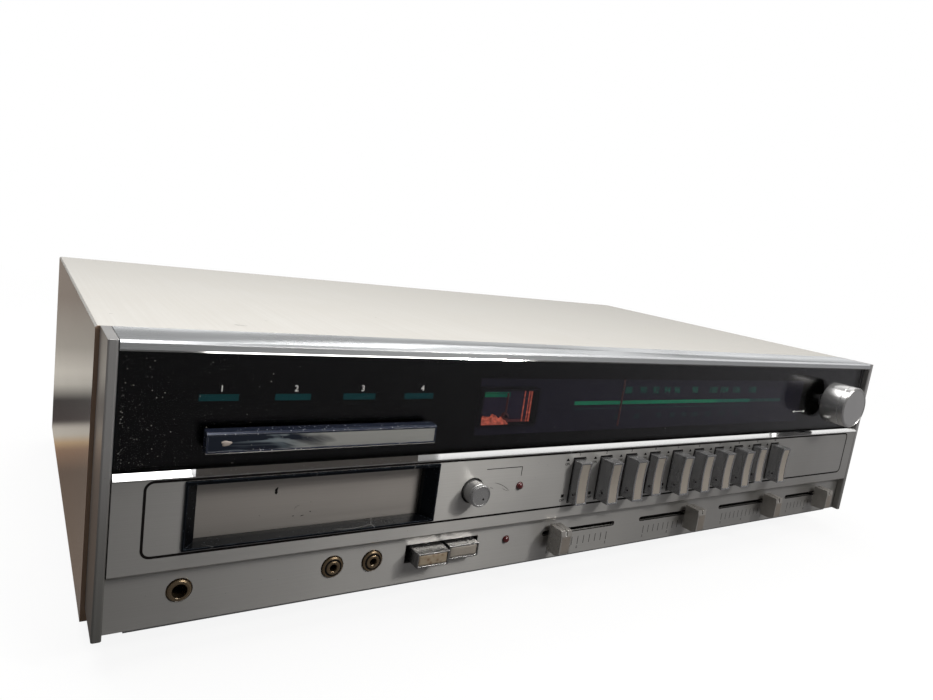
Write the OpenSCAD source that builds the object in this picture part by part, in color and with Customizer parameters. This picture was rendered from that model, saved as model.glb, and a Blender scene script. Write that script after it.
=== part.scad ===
// Stereo receiver with an 8 track cartridge deck. Millimetres, +Z up, front towards -Y.
// Inside the modules Y = 0 is the front plane of the end caps, Z = 0 is their bottom edge
// and X = 0 is the middle of the unit.

/* [Cabinet] */
// Width over the end caps
unit_w = 545; // [535:1:560]
// Height of the end caps
bezel_h = 122; // [121:0.5:128]
// Depth of the front assembly
bezel_d = 28.2; // [28:0.2:31]
// Depth of the cabinet behind the front assembly
cabinet_d = 276.3; // [260:0.1:310]
// Thickness of the cabinet's boards
board_t = 12; // [9:0.5:14]
// How far the cabinet's sides stand proud of the end caps
cabinet_proud = 1.7; // [0.5:0.1:3]
// How far the cabinet's sides reach below the end caps
cabinet_drop = 6.5; // [4:0.5:9]
// Clear height under the cabinet's sides
foot_h = 9; // [6:0.5:14]
// Radius of a rubber foot at the floor
foot_r = 10; // [8:0.5:12]
// Distance between the left and right feet
feet_x = 450; // [380:5:480]
// Distance between the front and rear feet
feet_y = 210; // [160:5:230]
// Rear panel's distance from the cabinet's back edge
rear_inset = 13.3; // [9:0.1:16]
// Thickness of the steel sheets
sheet_t = 1.5; // [1:0.1:1.6]

/* [Front trim] */
// Thickness of an end cap
cap_t = 3.8; // [3:0.1:4.5]
// Thickness of the top trim's plate
trim_t = 2.4; // [2:0.1:2.6]
// Height of the top trim's front lip
trim_lip = 4.2; // [3.5:0.1:5]
// Depth of the glass behind the end caps' front plane
glass_y = 3.7; // [3.4:0.1:4]
// Thickness of the dial glass
glass_t = 3; // [2.5:0.1:3.2]
// Thickness of the control panel
panel_t = 1.5; // [1.2:0.1:1.8]
// Top edge of the control panel
panel_top = 66.6; // [66.2:0.1:67]
// Height of the ledge trim at its front edge
ledge_h = 0.9; // [0.6:0.1:1.4]
// Rise of the ledge trim from its front edge to the glass
ledge_rise = 1.4; // [1:0.1:2]
// Height of the step's upper edge on the panel
step_top = 27; // [26.4:0.1:28]
// Height of the step's slanted face
step_h = 3.2; // [2.6:0.1:3.6]
// Set-back of the lower panel
step_d = 4.6; // [4:0.1:5]

/* [Cartridge door] */
// Centre of the door from the middle of the unit, at the standard width
door_at = -182; // [-186:0.5:-180]
// Outer width of the door bezel
bezel_w = 119.3; // [118:0.1:121]
// Bottom edge of the door bezel
bezel_z = 34.9; // [34.4:0.1:35.2]
// Outer height of the door bezel
bezel_frame_h = 30; // [29.5:0.1:30.5]
// Width of the door opening
opening_w = 108.3; // [107:0.1:109]
// Bottom of the door opening
opening_z = 36.4; // [36.2:0.1:36.8]
// Height of the door opening
opening_h = 25.4; // [24.6:0.1:25.6]
// Thickness of the flap
flap_t = 1.8; // [1.5:0.1:2]
// Radius of the flap's hinge pins
hinge_r = 1.5; // [1.2:0.1:1.7]
// Width of a tape cartridge with its play
cartridge_w = 104.4; // [103:0.1:105]
// Depth of the cartridge tray
tray_d = 104; // [96:1:120]

/* [Push keys] */
// Centre of the key row from the middle of the unit, at the standard width
keys_x = 66; // [64:0.5:68]
// Number of keys
key_count = 10; // [10]
// Distance from one key to the next, at the standard width
key_pitch = 20.95; // [20:0.05:21.4]
// Width of a key
key_w = 8.4; // [7.6:0.1:9]
// Height of a key
key_h = 25.1; // [24:0.1:25.4]
// Height of the key row's middle
keys_z = 48.65; // [48.4:0.05:49]
// How far a key that is out stands in front of the panel
key_out = 10.5; // [9.5:0.1:12]
// Travel of a key
key_travel = 4; // [3:0.1:4.4]
// Hollow of a key's curved front
key_hollow = 0.9; // [0.5:0.1:1.4]
// Side gap between a key and its slot
key_gap = 0.8; // [0.5:0.1:1]

/* [Sliders] */
// Centre of the slider row from the middle of the unit, at the standard width
sliders_x = 105.5; // [103:0.5:107]
// Distance from one slider to the next, at the standard width
slider_pitch = 80; // [78:0.5:82]
// Height of the slots
slider_z = 15.5; // [15:0.1:16]
// Length of a slot
slot_l = 57; // [56:0.5:60]
// Width of a slot
slot_w = 2.2; // [2:0.1:3]
// Width of a slider knob
slider_w = 7.7; // [7:0.1:9]
// Height of a slider knob
slider_h = 15.7; // [14.5:0.1:16]
// How far a slider knob stands in front of the end caps
slider_out = 8.3; // [7:0.1:10]
// Where the first knob stands in its slot
slider_1 = -22; // [-23:0.5:23]
// Where the second knob stands in its slot
slider_2 = 16.4; // [-23:0.1:23]
// Where the third knob stands in its slot
slider_3 = 23; // [-23:0.5:23]
// Where the fourth knob stands in its slot
slider_4 = 10.4; // [-23:0.1:23]

/* [Buttons and jacks] */
// Record button from the middle of the unit, at the standard width
record_at = -100.3; // [-102:0.1:-98]
// Height of the record button
record_z = 48.7; // [47:0.1:50]
// Radius of the record button
record_r = 6; // [5:0.1:6.5]
// How far the record button stands out
record_out = 8.5; // [7:0.1:10]
// Travel of the record button
record_travel = 3; // [2:0.1:4]
// Centre of the two piano buttons from the middle of the unit, at the standard width
piano_at = -110.9; // [-112:0.1:-109]
// Height of the piano buttons' middle
piano_z = 15.5; // [15:0.1:16]
// Width of a piano button
piano_w = 18.3; // [17:0.1:18.8]
// Height of a piano button
piano_h = 7.5; // [7:0.1:8]
// Gap between the two piano buttons
piano_gap = 2.2; // [1.4:0.1:3]
// How far the fast-forward button stands in front of the end caps
forward_out = 4.3; // [3.5:0.1:6]
// How far the mode button stands in front of the end caps
mode_out = 0.8; // [0.4:0.1:2]
// Travel of the piano buttons
piano_travel = 3; // [2:0.1:3.5]
// Indicator lamps from the middle of the unit, at the standard width
lamp_at = -69.6; // [-72:0.1:-66]
// Radius of an indicator lamp
lamp_r = 2.2; // [1.5:0.1:2.5]
// Phones jack from the middle of the unit, at the standard width
phones_at = -240; // [-244:0.5:-236]
// Radius of the phones jack's bore
phones_r = 3.2; // [3.18:0.01:3.22]
// First microphone jack from the middle of the unit, at the standard width
mic_at = -171.7; // [-174:0.1:-170]
// Distance between the microphone jacks, at the standard width
mic_step = 20.7; // [18:0.1:24]
// Radius of a microphone jack's bore
mic_r = 1.78; // [1.77:0.01:1.8]
// Height of the jacks
jack_z = 14.9; // [14:0.1:15.5]
// Outer radius of a phono socket's shell
phono_r = 4.15; // [4.1:0.01:4.2]
// Radius of the hole in a phono socket
phono_pin_r = 1.65; // [1.6:0.01:1.7]

/* [Selector bar] */
// Centre of the selector bar from the middle of the unit, at the standard width
bar_at = -183; // [-185:0.5:-180]
// Length of the selector bar
bar_w = 106; // [100:0.5:112]
// Bottom edge of the selector bar, at the standard height
bar_bottom = 77.2; // [76:0.1:79]
// Height of the selector bar
bar_h = 9.2; // [8:0.1:10]
// How far the selector bar stands in front of the end caps
bar_out = 4.5; // [3.5:0.1:6]
// Free space behind the selector bar, which is also its travel
bar_travel = 2.4; // [1.6:0.1:2.6]

/* [Tuning] */
// Tuning knob from the middle of the unit, at the standard width
tuning_at = 218.5; // [217:0.1:219.5]
// Height of the tuning knob's axis, at the standard height
tuning_axis = 92.8; // [92:0.1:94]
// Radius of the tuning knob
tuning_r = 15.2; // [13:0.1:17]
// How far the tuning knob stands in front of the end caps
tuning_out = 20; // [17:0.1:24]
// Radius of the tuning spindle
spindle_r = 3; // [2.5:0.1:3]
// Radius at which the dial cord runs on the spindle
cord_spindle_r = 4; // [3.8:0.1:4.2]
// Radius at which the dial cord runs on the drum
drum_r = 22; // [20:0.1:23]
// Centre of the dial plate from the middle of the unit, at the standard width
dial_at = 49.2; // [48:0.1:50]
// Length of the dial plate, at the standard width
dial_length = 300; // [292:0.5:302]
// Where the pointer stands on the dial, from the middle of the unit, at the standard width
pointer_at = 7.3; // [-20:0.1:120]
// Middle of the tuning meter from the dial plate's left end
meter_in = 22.3; // [22:0.1:24]

/* [Fits] */
// Gap between neighbouring pieces
gap = 0.3; // [0.2:0.05:0.4]
// Radial clearance of a running fit
run_fit = 0.05; // [0.02:0.01:0.09]

/* [Hidden] */
$fn = 48;
eps = 0.01;

// Frame of the whole unit: the bottom of its box is the floor, its middle is the origin
unit_back = bezel_d + cabinet_d;
mid_y = (unit_back - tuning_out) / 2;
base_z = cabinet_drop + foot_h;

// Places across the front spread with the unit's width, and the places in the dial's band with
// the height that is left above the control panel
standard_w = 545;
standard_h = 122;
standard_top = 66.6;
spread = unit_w / standard_w;
function up(z) = panel_top + (z - standard_top) * (bezel_h - panel_top) / (standard_h - standard_top);
door_x = door_at * spread;
record_x = record_at * spread;
piano_x = piano_at * spread;
lamp_x = lamp_at * spread;
phones_x = phones_at * spread;
mic_x = mic_at * spread;
mic_pitch = mic_step * spread;
bar_x = bar_at * spread;
bar_z = up(bar_bottom);
tuning_x = tuning_at * spread;
tuning_z = up(tuning_axis);
dial_x = dial_at * spread;
dial_w = dial_length * spread;
pointer_x = pointer_at * spread;
meter_x = dial_x - dial_w / 2 + meter_in;
feet_half = feet_x * spread / 2;

// Faces that several pieces share
half_w = unit_w / 2;
inner_half = half_w - cap_t - gap;
cabinet_top = bezel_h - 0.2;
board_in = half_w + cabinet_proud - board_t;
chassis_half = board_in - gap;
roof_z = cabinet_top - board_t;
floor_z = -gap;
lower_y = step_d;
step_bottom = step_top - step_h;
panel_back = lower_y + panel_t;
frame_y = bezel_d - gap - sheet_t;
frame_back = frame_y + sheet_t;
frame_top = bezel_h - trim_t - gap;
glass_back = glass_y + glass_t;
ledge_z = panel_top + gap;
ledge_back = glass_back + 2;
glass_bottom = ledge_z + 0.6;
glass_top = bezel_h - trim_t - gap;
rear_y = unit_back - rear_inset;

// Cartridge door and tray
opening_top = opening_z + opening_h;
bezel_front = 1.2;
bezel_back = 7.1;
flap_y = bezel_back + gap;
flap_w = opening_w + 1.7;
flap_bottom = opening_z - 0.8;
hinge_y = flap_y + flap_t + 0.4;
hinge_z = opening_top + 0.5;
barrel_r = hinge_r + 0.5;
tray_wall = 1.6;
tray_half = flap_w / 2 + gap + 0.2;
tray_y = 8;
tray_floor = flap_bottom - gap - 0.2;
tray_roof = panel_top - gap - tray_wall;
tray_base = tray_floor - tray_wall;
runner_h = 0.9;
guide_y = hinge_y + hinge_z - flap_bottom + 2;
deck_top = tray_base - gap;
deck_z = deck_top - sheet_t;

// Keys and their bank
latched = [true, false, false, true, false, false, false, false, true, false];
key_z0 = keys_z - key_h / 2;
key_slot_w = key_w + 2 * key_gap;
key_slot_h = key_h + 1;
key_back = 8;
stem_w = 3;
stem_h = 6;
stem_end = key_back + 12;
bank_y = key_back + key_travel + 0.6;

// Sliders
slider_at = [slider_1, slider_2, slider_3, slider_4];
slider_back = lower_y - 2;
lever_w = 4;
lever_t = 1.4;
control_y = panel_back + gap;
control_d = 9;
control_h = 9;
control_l = slot_l + 10;

// Buttons
button_back = 12;
plunger = 3;
switch_d = 22;
forward_x = piano_x - (piano_w + piano_gap) / 2;
mode_x = piano_x + (piano_w + piano_gap) / 2;
piano_slot_w = 2 * piano_w + piano_gap + 5;
piano_slot_h = piano_h + 2.3;
bar_back = glass_y - bar_travel - 0.1;
tongue_w = 14;
tongue_h = 5;

// Dial drive: a closed cord round a left pulley, a right pulley, the spindle, the drum and a middle pulley
cord_w = 0.8;
cord_y = frame_y - 4.4;
cord_drop = 7;
cord_top = bezel_h - cord_drop;
pulley_r = 3.5;
pulley_z = cord_top - pulley_r;
left_x = dial_x - dial_w / 2 + 49;
right_x = tuning_x - 4.5;
drum_x = tuning_x - 10.5;
drum_z = 53;
middle_x = drum_x - drum_r - pulley_r;
middle_z = pulley_z - 2 * pulley_r;
pulley_t = 2.6;
post_r = 1.2;
rail_r = 1;
rail_y = 16.8;
rail_z = cord_top - 3;
dial_y = 12;
dial_t = 1.4;
dial_z = up(74);
dial_h = rail_z - 4 - dial_z;
pointer_y = dial_y - 1.3;
meter_w = 38;
meter_z = up(80);
meter_h = up(101) - meter_z;
meter_y = glass_back + 1.2;
needle_l = meter_h - 8;
window_x = bar_x;
window_pitch = 31.3;
window_z = up(98);

// Tape drive
capstan_x = door_x + 30;
capstan_y = tray_y + tray_d + 6;
capstan_r = 2;
wheel_r = 34;
wheel_t = 9;
wheel_z = 12;
motor_x = door_x - 34;
motor_y = capstan_y + 50;
motor_r = 19;
motor_h = 36;
drive_pulley_r = 6;
belt_t = 0.8;
belt_h = 5;
belt_z = wheel_z + 2;
head_x = door_x - 6;
head_y = tray_y + tray_d + 4;
head_lift = 3;
deck_margin = 6.9;
deck_half = tray_half + tray_wall + deck_margin;

// Boards and transformer on the floor of the chassis, and what the rear panel carries
post_h = 8;
board_h = 1.6;
transformer_x = chassis_half - 67;
transformer_y = rear_y - 80;
amp_left = door_x + deck_half + 23;
amp_right = transformer_x - 65;
amp_mid = (amp_left + amp_right) / 2;
amp_y = rear_y - 150;
amp_d = 110;
tuner_left = amp_right - 40;
tuner_w = chassis_half - 22 - tuner_left;
tuner_d = 72;
tuner_y = amp_y + 10 - tuner_d;
sink_w = 120;
sink_h = 44;
socket_x = -165 * spread;
terminal_x = 60 * spread;
bush_x = 190 * spread;
rear_hole_z = 22;
socket_pitch = 18;

function lies(i) = (keys_x + (i - (key_count - 1) / 2) * key_pitch) * spread;
function slider_mid(i) = (sliders_x + (i - 1.5) * slider_pitch) * spread;

// A closed path round circles [x, y, signed radius]: a positive radius is passed clockwise and a
// negative one anticlockwise. shift moves the path outwards.
function bearing(a, b) = atan2(b[1] - a[1], b[0] - a[0])
    - asin((a[2] - b[2]) / norm([b[0] - a[0], b[1] - a[1]]));
function turn(a, sign) = sign > 0 ? (a > eps ? a - 360 : a) : (a < -eps ? a + 360 : a);
function round_path(c, shift, steps = 24) = [
    for (i = [0 : len(c) - 1])
        let (
            before = c[(i + len(c) - 1) % len(c)],
            after = c[(i + 1) % len(c)],
            from = bearing(before, c[i]) + 90,
            raw = (bearing(c[i], after) + 90 - from) % 360,
            sweep = turn(raw, c[i][2]),
            r = c[i][2] + shift
        )
        for (k = [0 : steps])
            [c[i][0] + r * cos(from + sweep * k / steps), c[i][1] + r * sin(from + sweep * k / steps)]
];
function span(from, count) = [for (i = [0 : count - 1]) from + i];
module ring_path(c, width) {
    outer = round_path(c, width / 2);
    inner = round_path(c, -width / 2);
    polygon(concat(outer, inner), [span(0, len(outer)), span(len(outer), len(inner))]);
}

module place() {
    translate([0, -mid_y, base_z]) children();
}
// Extrudes a [y, z] outline along X, centred on x
module along_x(length, x = 0) {
    translate([x - length / 2, 0, 0]) rotate([90, 0, 90]) linear_extrude(length) children();
}
// Extrudes an [x, z] outline along Y, starting at y
module along_y(length, y) {
    translate([0, y + length, 0]) rotate([90, 0, 0]) linear_extrude(length) children();
}
// A cylinder along Y
module rod(r, length, x, y, z) {
    translate([x, y + length, z]) rotate([90, 0, 0]) cylinder(h = length, r = r);
}
// A block given by its middle in X, its front, its bottom and its size
module block(x, y, z, size) {
    translate([x - size[0] / 2, y, z]) cube(size);
}
module slot_2d(length, width) {
    square([length - width, width], center = true);
    for (s = [-1, 1]) translate([s * (length - width) / 2, 0]) circle(width / 2);
}

module cabinet_sleeve() {
    w = half_w + cabinet_proud;
    edge = 0.8;
    color("silver") place() along_y(cabinet_d, bezel_d)
        polygon([[-w, -cabinet_drop], [-w, cabinet_top - edge], [-w + edge, cabinet_top],
            [w - edge, cabinet_top], [w, cabinet_top - edge], [w, -cabinet_drop],
            [board_in, -cabinet_drop], [board_in, roof_z], [-board_in, roof_z], [-board_in, -cabinet_drop]]);
}

module base_chassis() {
    flange = 14;
    front = panel_back + gap;
    slot_pitch = 9;
    color("darkgray") place() difference() {
        union() {
            translate([-inner_half + 8, front, floor_z - sheet_t])
                cube([2 * inner_half - 16, bezel_d - front + 2, sheet_t]);
            translate([-chassis_half, bezel_d + 1, floor_z - sheet_t])
                cube([2 * chassis_half, rear_y + sheet_t - bezel_d - 1, sheet_t]);
            for (s = [-1, 1])
                block(s * (chassis_half - sheet_t / 2), bezel_d + 1, floor_z - eps,
                    [sheet_t, rear_y - gap - bezel_d - 1, flange]);
        }
        for (i = [-7 : 7])
            translate([20 + i * slot_pitch, bezel_d + cabinet_d * 0.42, floor_z - sheet_t - 1])
                linear_extrude(sheet_t + 2) rotate(90) slot_2d(50, 3.4);
    }
}

module rear_panel() {
    vent_pitch = 7;
    color("dimgray") place() difference() {
        translate([-chassis_half, rear_y, 0]) cube([2 * chassis_half, sheet_t, roof_z - gap]);
        for (i = [-12 : 12], row = [0, 1])
            translate([i * vent_pitch + 90, 0, roof_z - 24 - row * 22])
                along_y(sheet_t + 2, rear_y - 1) rotate(90) slot_2d(17, 3);
        for (x = [socket_x, terminal_x, bush_x]) rod(6, sheet_t + 2, x, rear_y - 1, rear_hole_z);
    }
}

module feet() {
    top = floor_z - sheet_t;
    color("black") place() for (sx = [-1, 1], sy = [-1, 1])
        translate([sx * feet_half, bezel_d + cabinet_d / 2 + sy * feet_y / 2, -base_z]) difference() {
            cylinder(h = top + base_z, r1 = foot_r, r2 = foot_r + 1.5);
            translate([0, 0, -1]) cylinder(h = 6, r = 4);
            cylinder(h = top + base_z + 1, r = 2);
        }
}

// An end cap, drawn at the left end: a plate with a rear flange that screws to the front frame
module end_cap() {
    flange = 12;
    edge = 0.6;
    rear = frame_y - gap;
    translate([-half_w, 0, 0]) {
        linear_extrude(bezel_h)
            polygon([[edge, 0], [cap_t - edge, 0], [cap_t, edge], [cap_t, bezel_d - gap],
                [0, bezel_d - gap], [0, edge]]);
        translate([cap_t - eps, rear - 2, gap]) cube([flange, 2, frame_top - gap]);
    }
}
module end_cap_left() {
    color("lightgray") place() end_cap();
}
module end_cap_right() {
    color("lightgray") place() mirror([1, 0, 0]) end_cap();
}

module top_trim() {
    bevel = 1;
    under = bezel_h - trim_t;
    lip = bezel_h - trim_lip;
    color("lightgray") place() along_x(2 * inner_half)
        polygon([[0, lip], [0, bezel_h - bevel], [bevel, bezel_h], [bezel_d - gap, bezel_h],
            [bezel_d - gap, under], [glass_back + gap + 2, under], [glass_back + gap + 2, lip],
            [glass_back + gap, lip], [glass_back + gap, under], [glass_y - gap, under],
            [glass_y - gap, lip]]);
}

module ledge_trim() {
    groove = glass_y - gap;
    color("gainsboro") place() along_x(2 * inner_half)
        polygon([[0, ledge_z], [0, ledge_z + ledge_h], [groove - 0.6, ledge_z + ledge_h + ledge_rise],
            [groove, ledge_z + ledge_h + ledge_rise], [groove, ledge_z + 0.3],
            [glass_back + gap, ledge_z + 0.3], [glass_back + gap, ledge_z + 3],
            [ledge_back, ledge_z + 3], [ledge_back, ledge_z]]);
}

module control_panel() {
    top_flange = 7;
    bottom_flange = 20;
    run = (step_top - step_bottom) / lower_y;
    slant = panel_t * (sqrt(1 + run * run) - run);
    color("silver") place() difference() {
        along_x(2 * inner_half)
            polygon([[0, panel_top], [top_flange, panel_top], [top_flange, panel_top - panel_t],
                [panel_t, panel_top - panel_t], [panel_t, step_top + panel_t - slant],
                [panel_back, step_bottom + panel_t - slant], [panel_back, panel_t], [bottom_flange, panel_t],
                [bottom_flange, 0], [lower_y, 0], [lower_y, step_bottom], [0, step_top]]);
        translate([door_x, -1, bezel_z + gap])
            translate([-bezel_w / 2 + 1, 0, 0]) cube([bezel_w - 2, panel_t + 2, bezel_frame_h - 2 * gap]);
        for (i = [0 : key_count - 1])
            block(lies(i), -1, keys_z - key_slot_h / 2, [key_slot_w, panel_t + 2, key_slot_h]);
        for (i = [0 : 3]) translate([slider_mid(i), 0, slider_z]) along_y(panel_t + 2, lower_y - 1)
            slot_2d(slot_l, slot_w);
        block(piano_x, lower_y - 1, piano_z - piano_slot_h / 2, [piano_slot_w, panel_t + 2, piano_slot_h]);
        rod(record_r + 0.9, panel_t + 2, record_x, -1, record_z);
        rod(lamp_r + 0.1, panel_t + 2, lamp_x, -1, record_z);
        rod(lamp_r + 0.1, panel_t + 2, lamp_x, lower_y - 1, piano_z);
        rod(5.4, panel_t + 2, phones_x, lower_y - 1, jack_z);
        for (i = [0, 1]) rod(5.6, panel_t + 2, mic_x + i * mic_pitch, lower_y - 1, jack_z);
    }
}

// Steel plate behind the front that carries the dial drive, the key bank and the switches
module front_frame() {
    post_y = cord_y - pulley_t / 2 - 1;
    window = tray_half + tray_wall + 2;
    color("slategray") place() {
        difference() {
            translate([-inner_half + 1, frame_y, gap]) cube([2 * inner_half - 2, sheet_t, frame_top - gap]);
            translate([door_x - window, frame_y - 1, deck_z - 2])
                cube([2 * window, sheet_t + 2, tray_roof + tray_wall + 4 - deck_z]);
            rod(spindle_r + run_fit, sheet_t + 2, tuning_x, frame_y - 1, tuning_z);
            rod(spindle_r + 1, sheet_t + 2, drum_x, frame_y - 1, drum_z);
            rod(plunger / 2 + 0.4, sheet_t + 2, record_x, frame_y - 1, record_z);
            for (x = [forward_x, mode_x]) rod(plunger / 2 + 0.4, sheet_t + 2, x, frame_y - 1, piano_z);
            rod(plunger / 2 + 0.4, sheet_t + 2, bar_x, frame_y - 1, bar_z + bar_h / 2);
            rod(11, sheet_t + 2, phones_x, frame_y - 1, jack_z);
        }
        for (p = [[left_x, pulley_z], [right_x, pulley_z], [middle_x, middle_z]])
            rod(post_r, frame_y - post_y + eps, p[0], post_y, p[1]);
    }
}

module dial_glass() {
    color("black") place() difference() {
        translate([-inner_half, glass_y, glass_bottom])
            cube([2 * inner_half, glass_t, glass_top - glass_bottom]);
        rod(spindle_r + 1, glass_t + 2, tuning_x, glass_y - 1, tuning_z);
        block(bar_x, glass_y - 1, bar_z + (bar_h - tongue_h) / 2 - 0.6,
            [tongue_w + 1.2, glass_t + 2, tongue_h + 1.2]);
    }
}

// Scale plate with folded ears that reach back to the front frame
module dial_plate() {
    ear = 10;
    color("darkslategray") place() {
        difference() {
            translate([dial_x - dial_w / 2, dial_y, dial_z]) cube([dial_w, dial_t, dial_h]);
            block(meter_x, dial_y - 1, meter_z - gap, [meter_w + 2 * gap, dial_t + 2, meter_h + 2 * gap]);
        }
        for (s = [-1, 1])
            translate([dial_x + s * (dial_w / 2 - 20) - ear / 2, dial_y + dial_t - eps, dial_z])
                cube([ear, frame_y - dial_y - dial_t + eps, dial_t]);
    }
}

module pointer_rail() {
    x0 = left_x - 6;
    x1 = right_x + 6;
    color("silver") place() {
        translate([x0, rail_y, rail_z]) rotate([0, 90, 0]) cylinder(h = x1 - x0, r = rail_r);
        for (x = [x0, x1]) block(x, rail_y - 2, rail_z - 2.5, [2, frame_y - rail_y + 2, 5]);
    }
}

module dial_pointer() {
    body = 10;
    top = rail_z + 2.6;
    arm = 1.2;
    color("red") place() {
        difference() {
            block(pointer_x, rail_y - 2.4, rail_z - 2.6, [body, 4.8, 5.2]);
            translate([pointer_x - body, rail_y, rail_z]) rotate([0, 90, 0])
                cylinder(h = 2 * body, r = rail_r + run_fit);
        }
        // clip that reaches over the cord
        block(pointer_x, rail_y + 2.4 - eps, top - 0.8 + 2, [4, cord_y - rail_y, 1.2]);
        block(pointer_x, rail_y + 1.4, top - 0.8, [4, 1 + eps, 2.4]);
        // arm and needle in front of the plate
        block(pointer_x, pointer_y, rail_z - 0.6, [arm, rail_y - 2.4 - pointer_y + eps, arm]);
        block(pointer_x, pointer_y, dial_z + 3, [0.9, 0.7, rail_z - dial_z - 3]);
    }
}

module tuning_knob() {
    back = 2;
    length = tuning_out - back;
    color("lightgray") place() translate([tuning_x, -tuning_out, tuning_z]) rotate([-90, 0, 0])
        difference() {
            rotate_extrude() polygon([[0, 0.3], [tuning_r - 1.9, 0.3], [tuning_r - 1.5, 0],
                [tuning_r - 1, 0], [tuning_r - 0.1, 0.9], [tuning_r - 0.1, 4.6], [tuning_r - 0.5, 4.9],
                [tuning_r - 0.1, 5.2], [tuning_r, length], [0, length]]);
            translate([0, 0, length - 7]) cylinder(h = 8, r = tuning_r - 2.4);
            translate([0, 0, length - 12]) cylinder(h = 13, r = spindle_r + run_fit);
        }
    // boss round the spindle, inside the skirt
    color("lightgray") place() translate([tuning_x, -back - 7 - eps, tuning_z]) rotate([-90, 0, 0])
        difference() {
            cylinder(h = 6.4, r = spindle_r + 2.6);
            translate([0, 0, -1]) cylinder(h = 9, r = spindle_r + run_fit);
        }
}

module tuning_spindle() {
    front = -2 - 11.4;
    color("gray") place() difference() {
        union() {
            rod(spindle_r, frame_back + 6 - front, tuning_x, front, tuning_z);
            rod(cord_spindle_r + 0.8, 5, tuning_x, cord_y - 2.5, tuning_z);
        }
        translate([tuning_x, cord_y + 0.9, tuning_z]) rotate([90, 0, 0]) difference() {
            cylinder(h = 1.8, r = cord_spindle_r + 3);
            translate([0, 0, -1]) cylinder(h = 4, r = cord_spindle_r - cord_w / 2 - 0.3);
        }
    }
}

module tuning_drum() {
    face = cord_y - 2;
    color("ivory") place() {
        difference() {
            rod(drum_r + 1.2, 4, drum_x, face, drum_z);
            translate([drum_x, cord_y + 0.9, drum_z]) rotate([90, 0, 0]) difference() {
                cylinder(h = 1.8, r = drum_r + 5);
                translate([0, 0, -1]) cylinder(h = 4, r = drum_r - cord_w / 2 - 0.3);
            }
            for (a = [45 : 90 : 315])
                rod(5, 6, drum_x + 13 * cos(a), face - 1, drum_z + 13 * sin(a));
        }
        rod(spindle_r, frame_back + 14 - face, drum_x, face, drum_z);
    }
}

module tuning_capacitor() {
    body_d = 44;
    plates = 8;
    color("lightsteelblue") place() difference() {
        union() {
            block(drum_x, frame_back, drum_z - 20, [44, 3, 40]);
            block(drum_x, frame_back + body_d - 3, drum_z - 20, [44, 3, 40]);
            block(drum_x, frame_back, drum_z - 20, [44, body_d, 3]);
            rod(5, body_d - 4, drum_x, frame_back + 2, drum_z);
            for (i = [0 : plates - 1])
                block(drum_x, frame_back + 7 + i * 4, drum_z - 18, [36, 1, 24]);
        }
        rod(spindle_r + run_fit, 17, drum_x, frame_back - 1, drum_z);
    }
}

module cord_pulley(x, z) {
    color("ivory") place() translate([x, cord_y + pulley_t / 2, z]) rotate([90, 0, 0]) difference() {
        cylinder(h = pulley_t, r = pulley_r + 1);
        cylinder(h = 10, r = post_r + run_fit, center = true);
        translate([0, 0, (pulley_t - 1.4) / 2]) difference() {
            cylinder(h = 1.4, r = pulley_r + 2);
            translate([0, 0, -1]) cylinder(h = 4, r = pulley_r - cord_w / 2 - 0.3);
        }
    }
}
module cord_pulley_left() {
    cord_pulley(left_x, pulley_z);
}
module cord_pulley_middle() {
    cord_pulley(middle_x, middle_z);
}
module cord_pulley_right() {
    cord_pulley(right_x, pulley_z);
}

module dial_cord() {
    color("tan") place() along_y(cord_w, cord_y - cord_w / 2) ring_path([
        [left_x, pulley_z, pulley_r], [right_x, pulley_z, pulley_r],
        [tuning_x, tuning_z, cord_spindle_r], [drum_x, drum_z, drum_r],
        [middle_x, middle_z, -pulley_r]], cord_w);
}

module tuning_meter() {
    wall = 1.2;
    depth = frame_y - meter_y;
    color("white") place() difference() {
        block(meter_x, meter_y, meter_z, [meter_w, depth, meter_h]);
        block(meter_x, meter_y - 1, meter_z + wall, [meter_w - 2 * wall, depth - 3, meter_h - 2 * wall]);
    }
    color("white") place() rod(0.8, frame_y - 4 + eps - meter_y - 2, meter_x, meter_y + 2, meter_z + 5);
}

module meter_needle() {
    y = meter_y + 3;
    color("orangered") place() difference() {
        union() {
            rod(2, 4, meter_x, y, meter_z + 5);
            block(meter_x, y, meter_z + 5, [0.8, 0.8, needle_l]);
        }
        rod(0.8 + run_fit, 6, meter_x, y - 1, meter_z + 5);
    }
}

module pilot_lamps() {
    color("khaki") place() {
        for (x = [dial_x - 60, dial_x + 70]) {
            translate([x - 14, 18, dial_z - 4]) rotate([0, 90, 0]) cylinder(h = 28, r = 2.6);
            for (s = [-1, 1]) block(x + s * 12, 16.6, dial_z - 6.8, [3, frame_y - 16.6, 5.4]);
        }
        for (i = [-1.5 : 1.5]) {
            rod(3, 9, window_x + i * window_pitch, 11, window_z);
            rod(4.5, frame_y - 19, window_x + i * window_pitch, 19, window_z);
        }
    }
}

module selector_bar() {
    mid = bar_z + bar_h / 2;
    rim = 0.7;
    color("gainsboro") place() {
        difference() {
            along_x(bar_w, bar_x) polygon([[bar_back, bar_z], [bar_back, bar_z + bar_h],
                [-bar_out + 0.8, bar_z + bar_h - 0.2], [-bar_out, bar_z + bar_h - 0.9],
                [-bar_out, bar_z + 0.5], [-bar_out + 0.5, bar_z]]);
            block(bar_x, -bar_out - 1, bar_z + 0.5 + rim, [bar_w - 2 * rim, 1.3, bar_h - 1.4 - 2 * rim]);
        }
        block(bar_x, bar_back - eps, mid - tongue_h / 2, [tongue_w, 12 - bar_back, tongue_h]);
        rod(plunger / 2, frame_back + 4 - 11, bar_x, 11, mid);
    }
}

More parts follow.
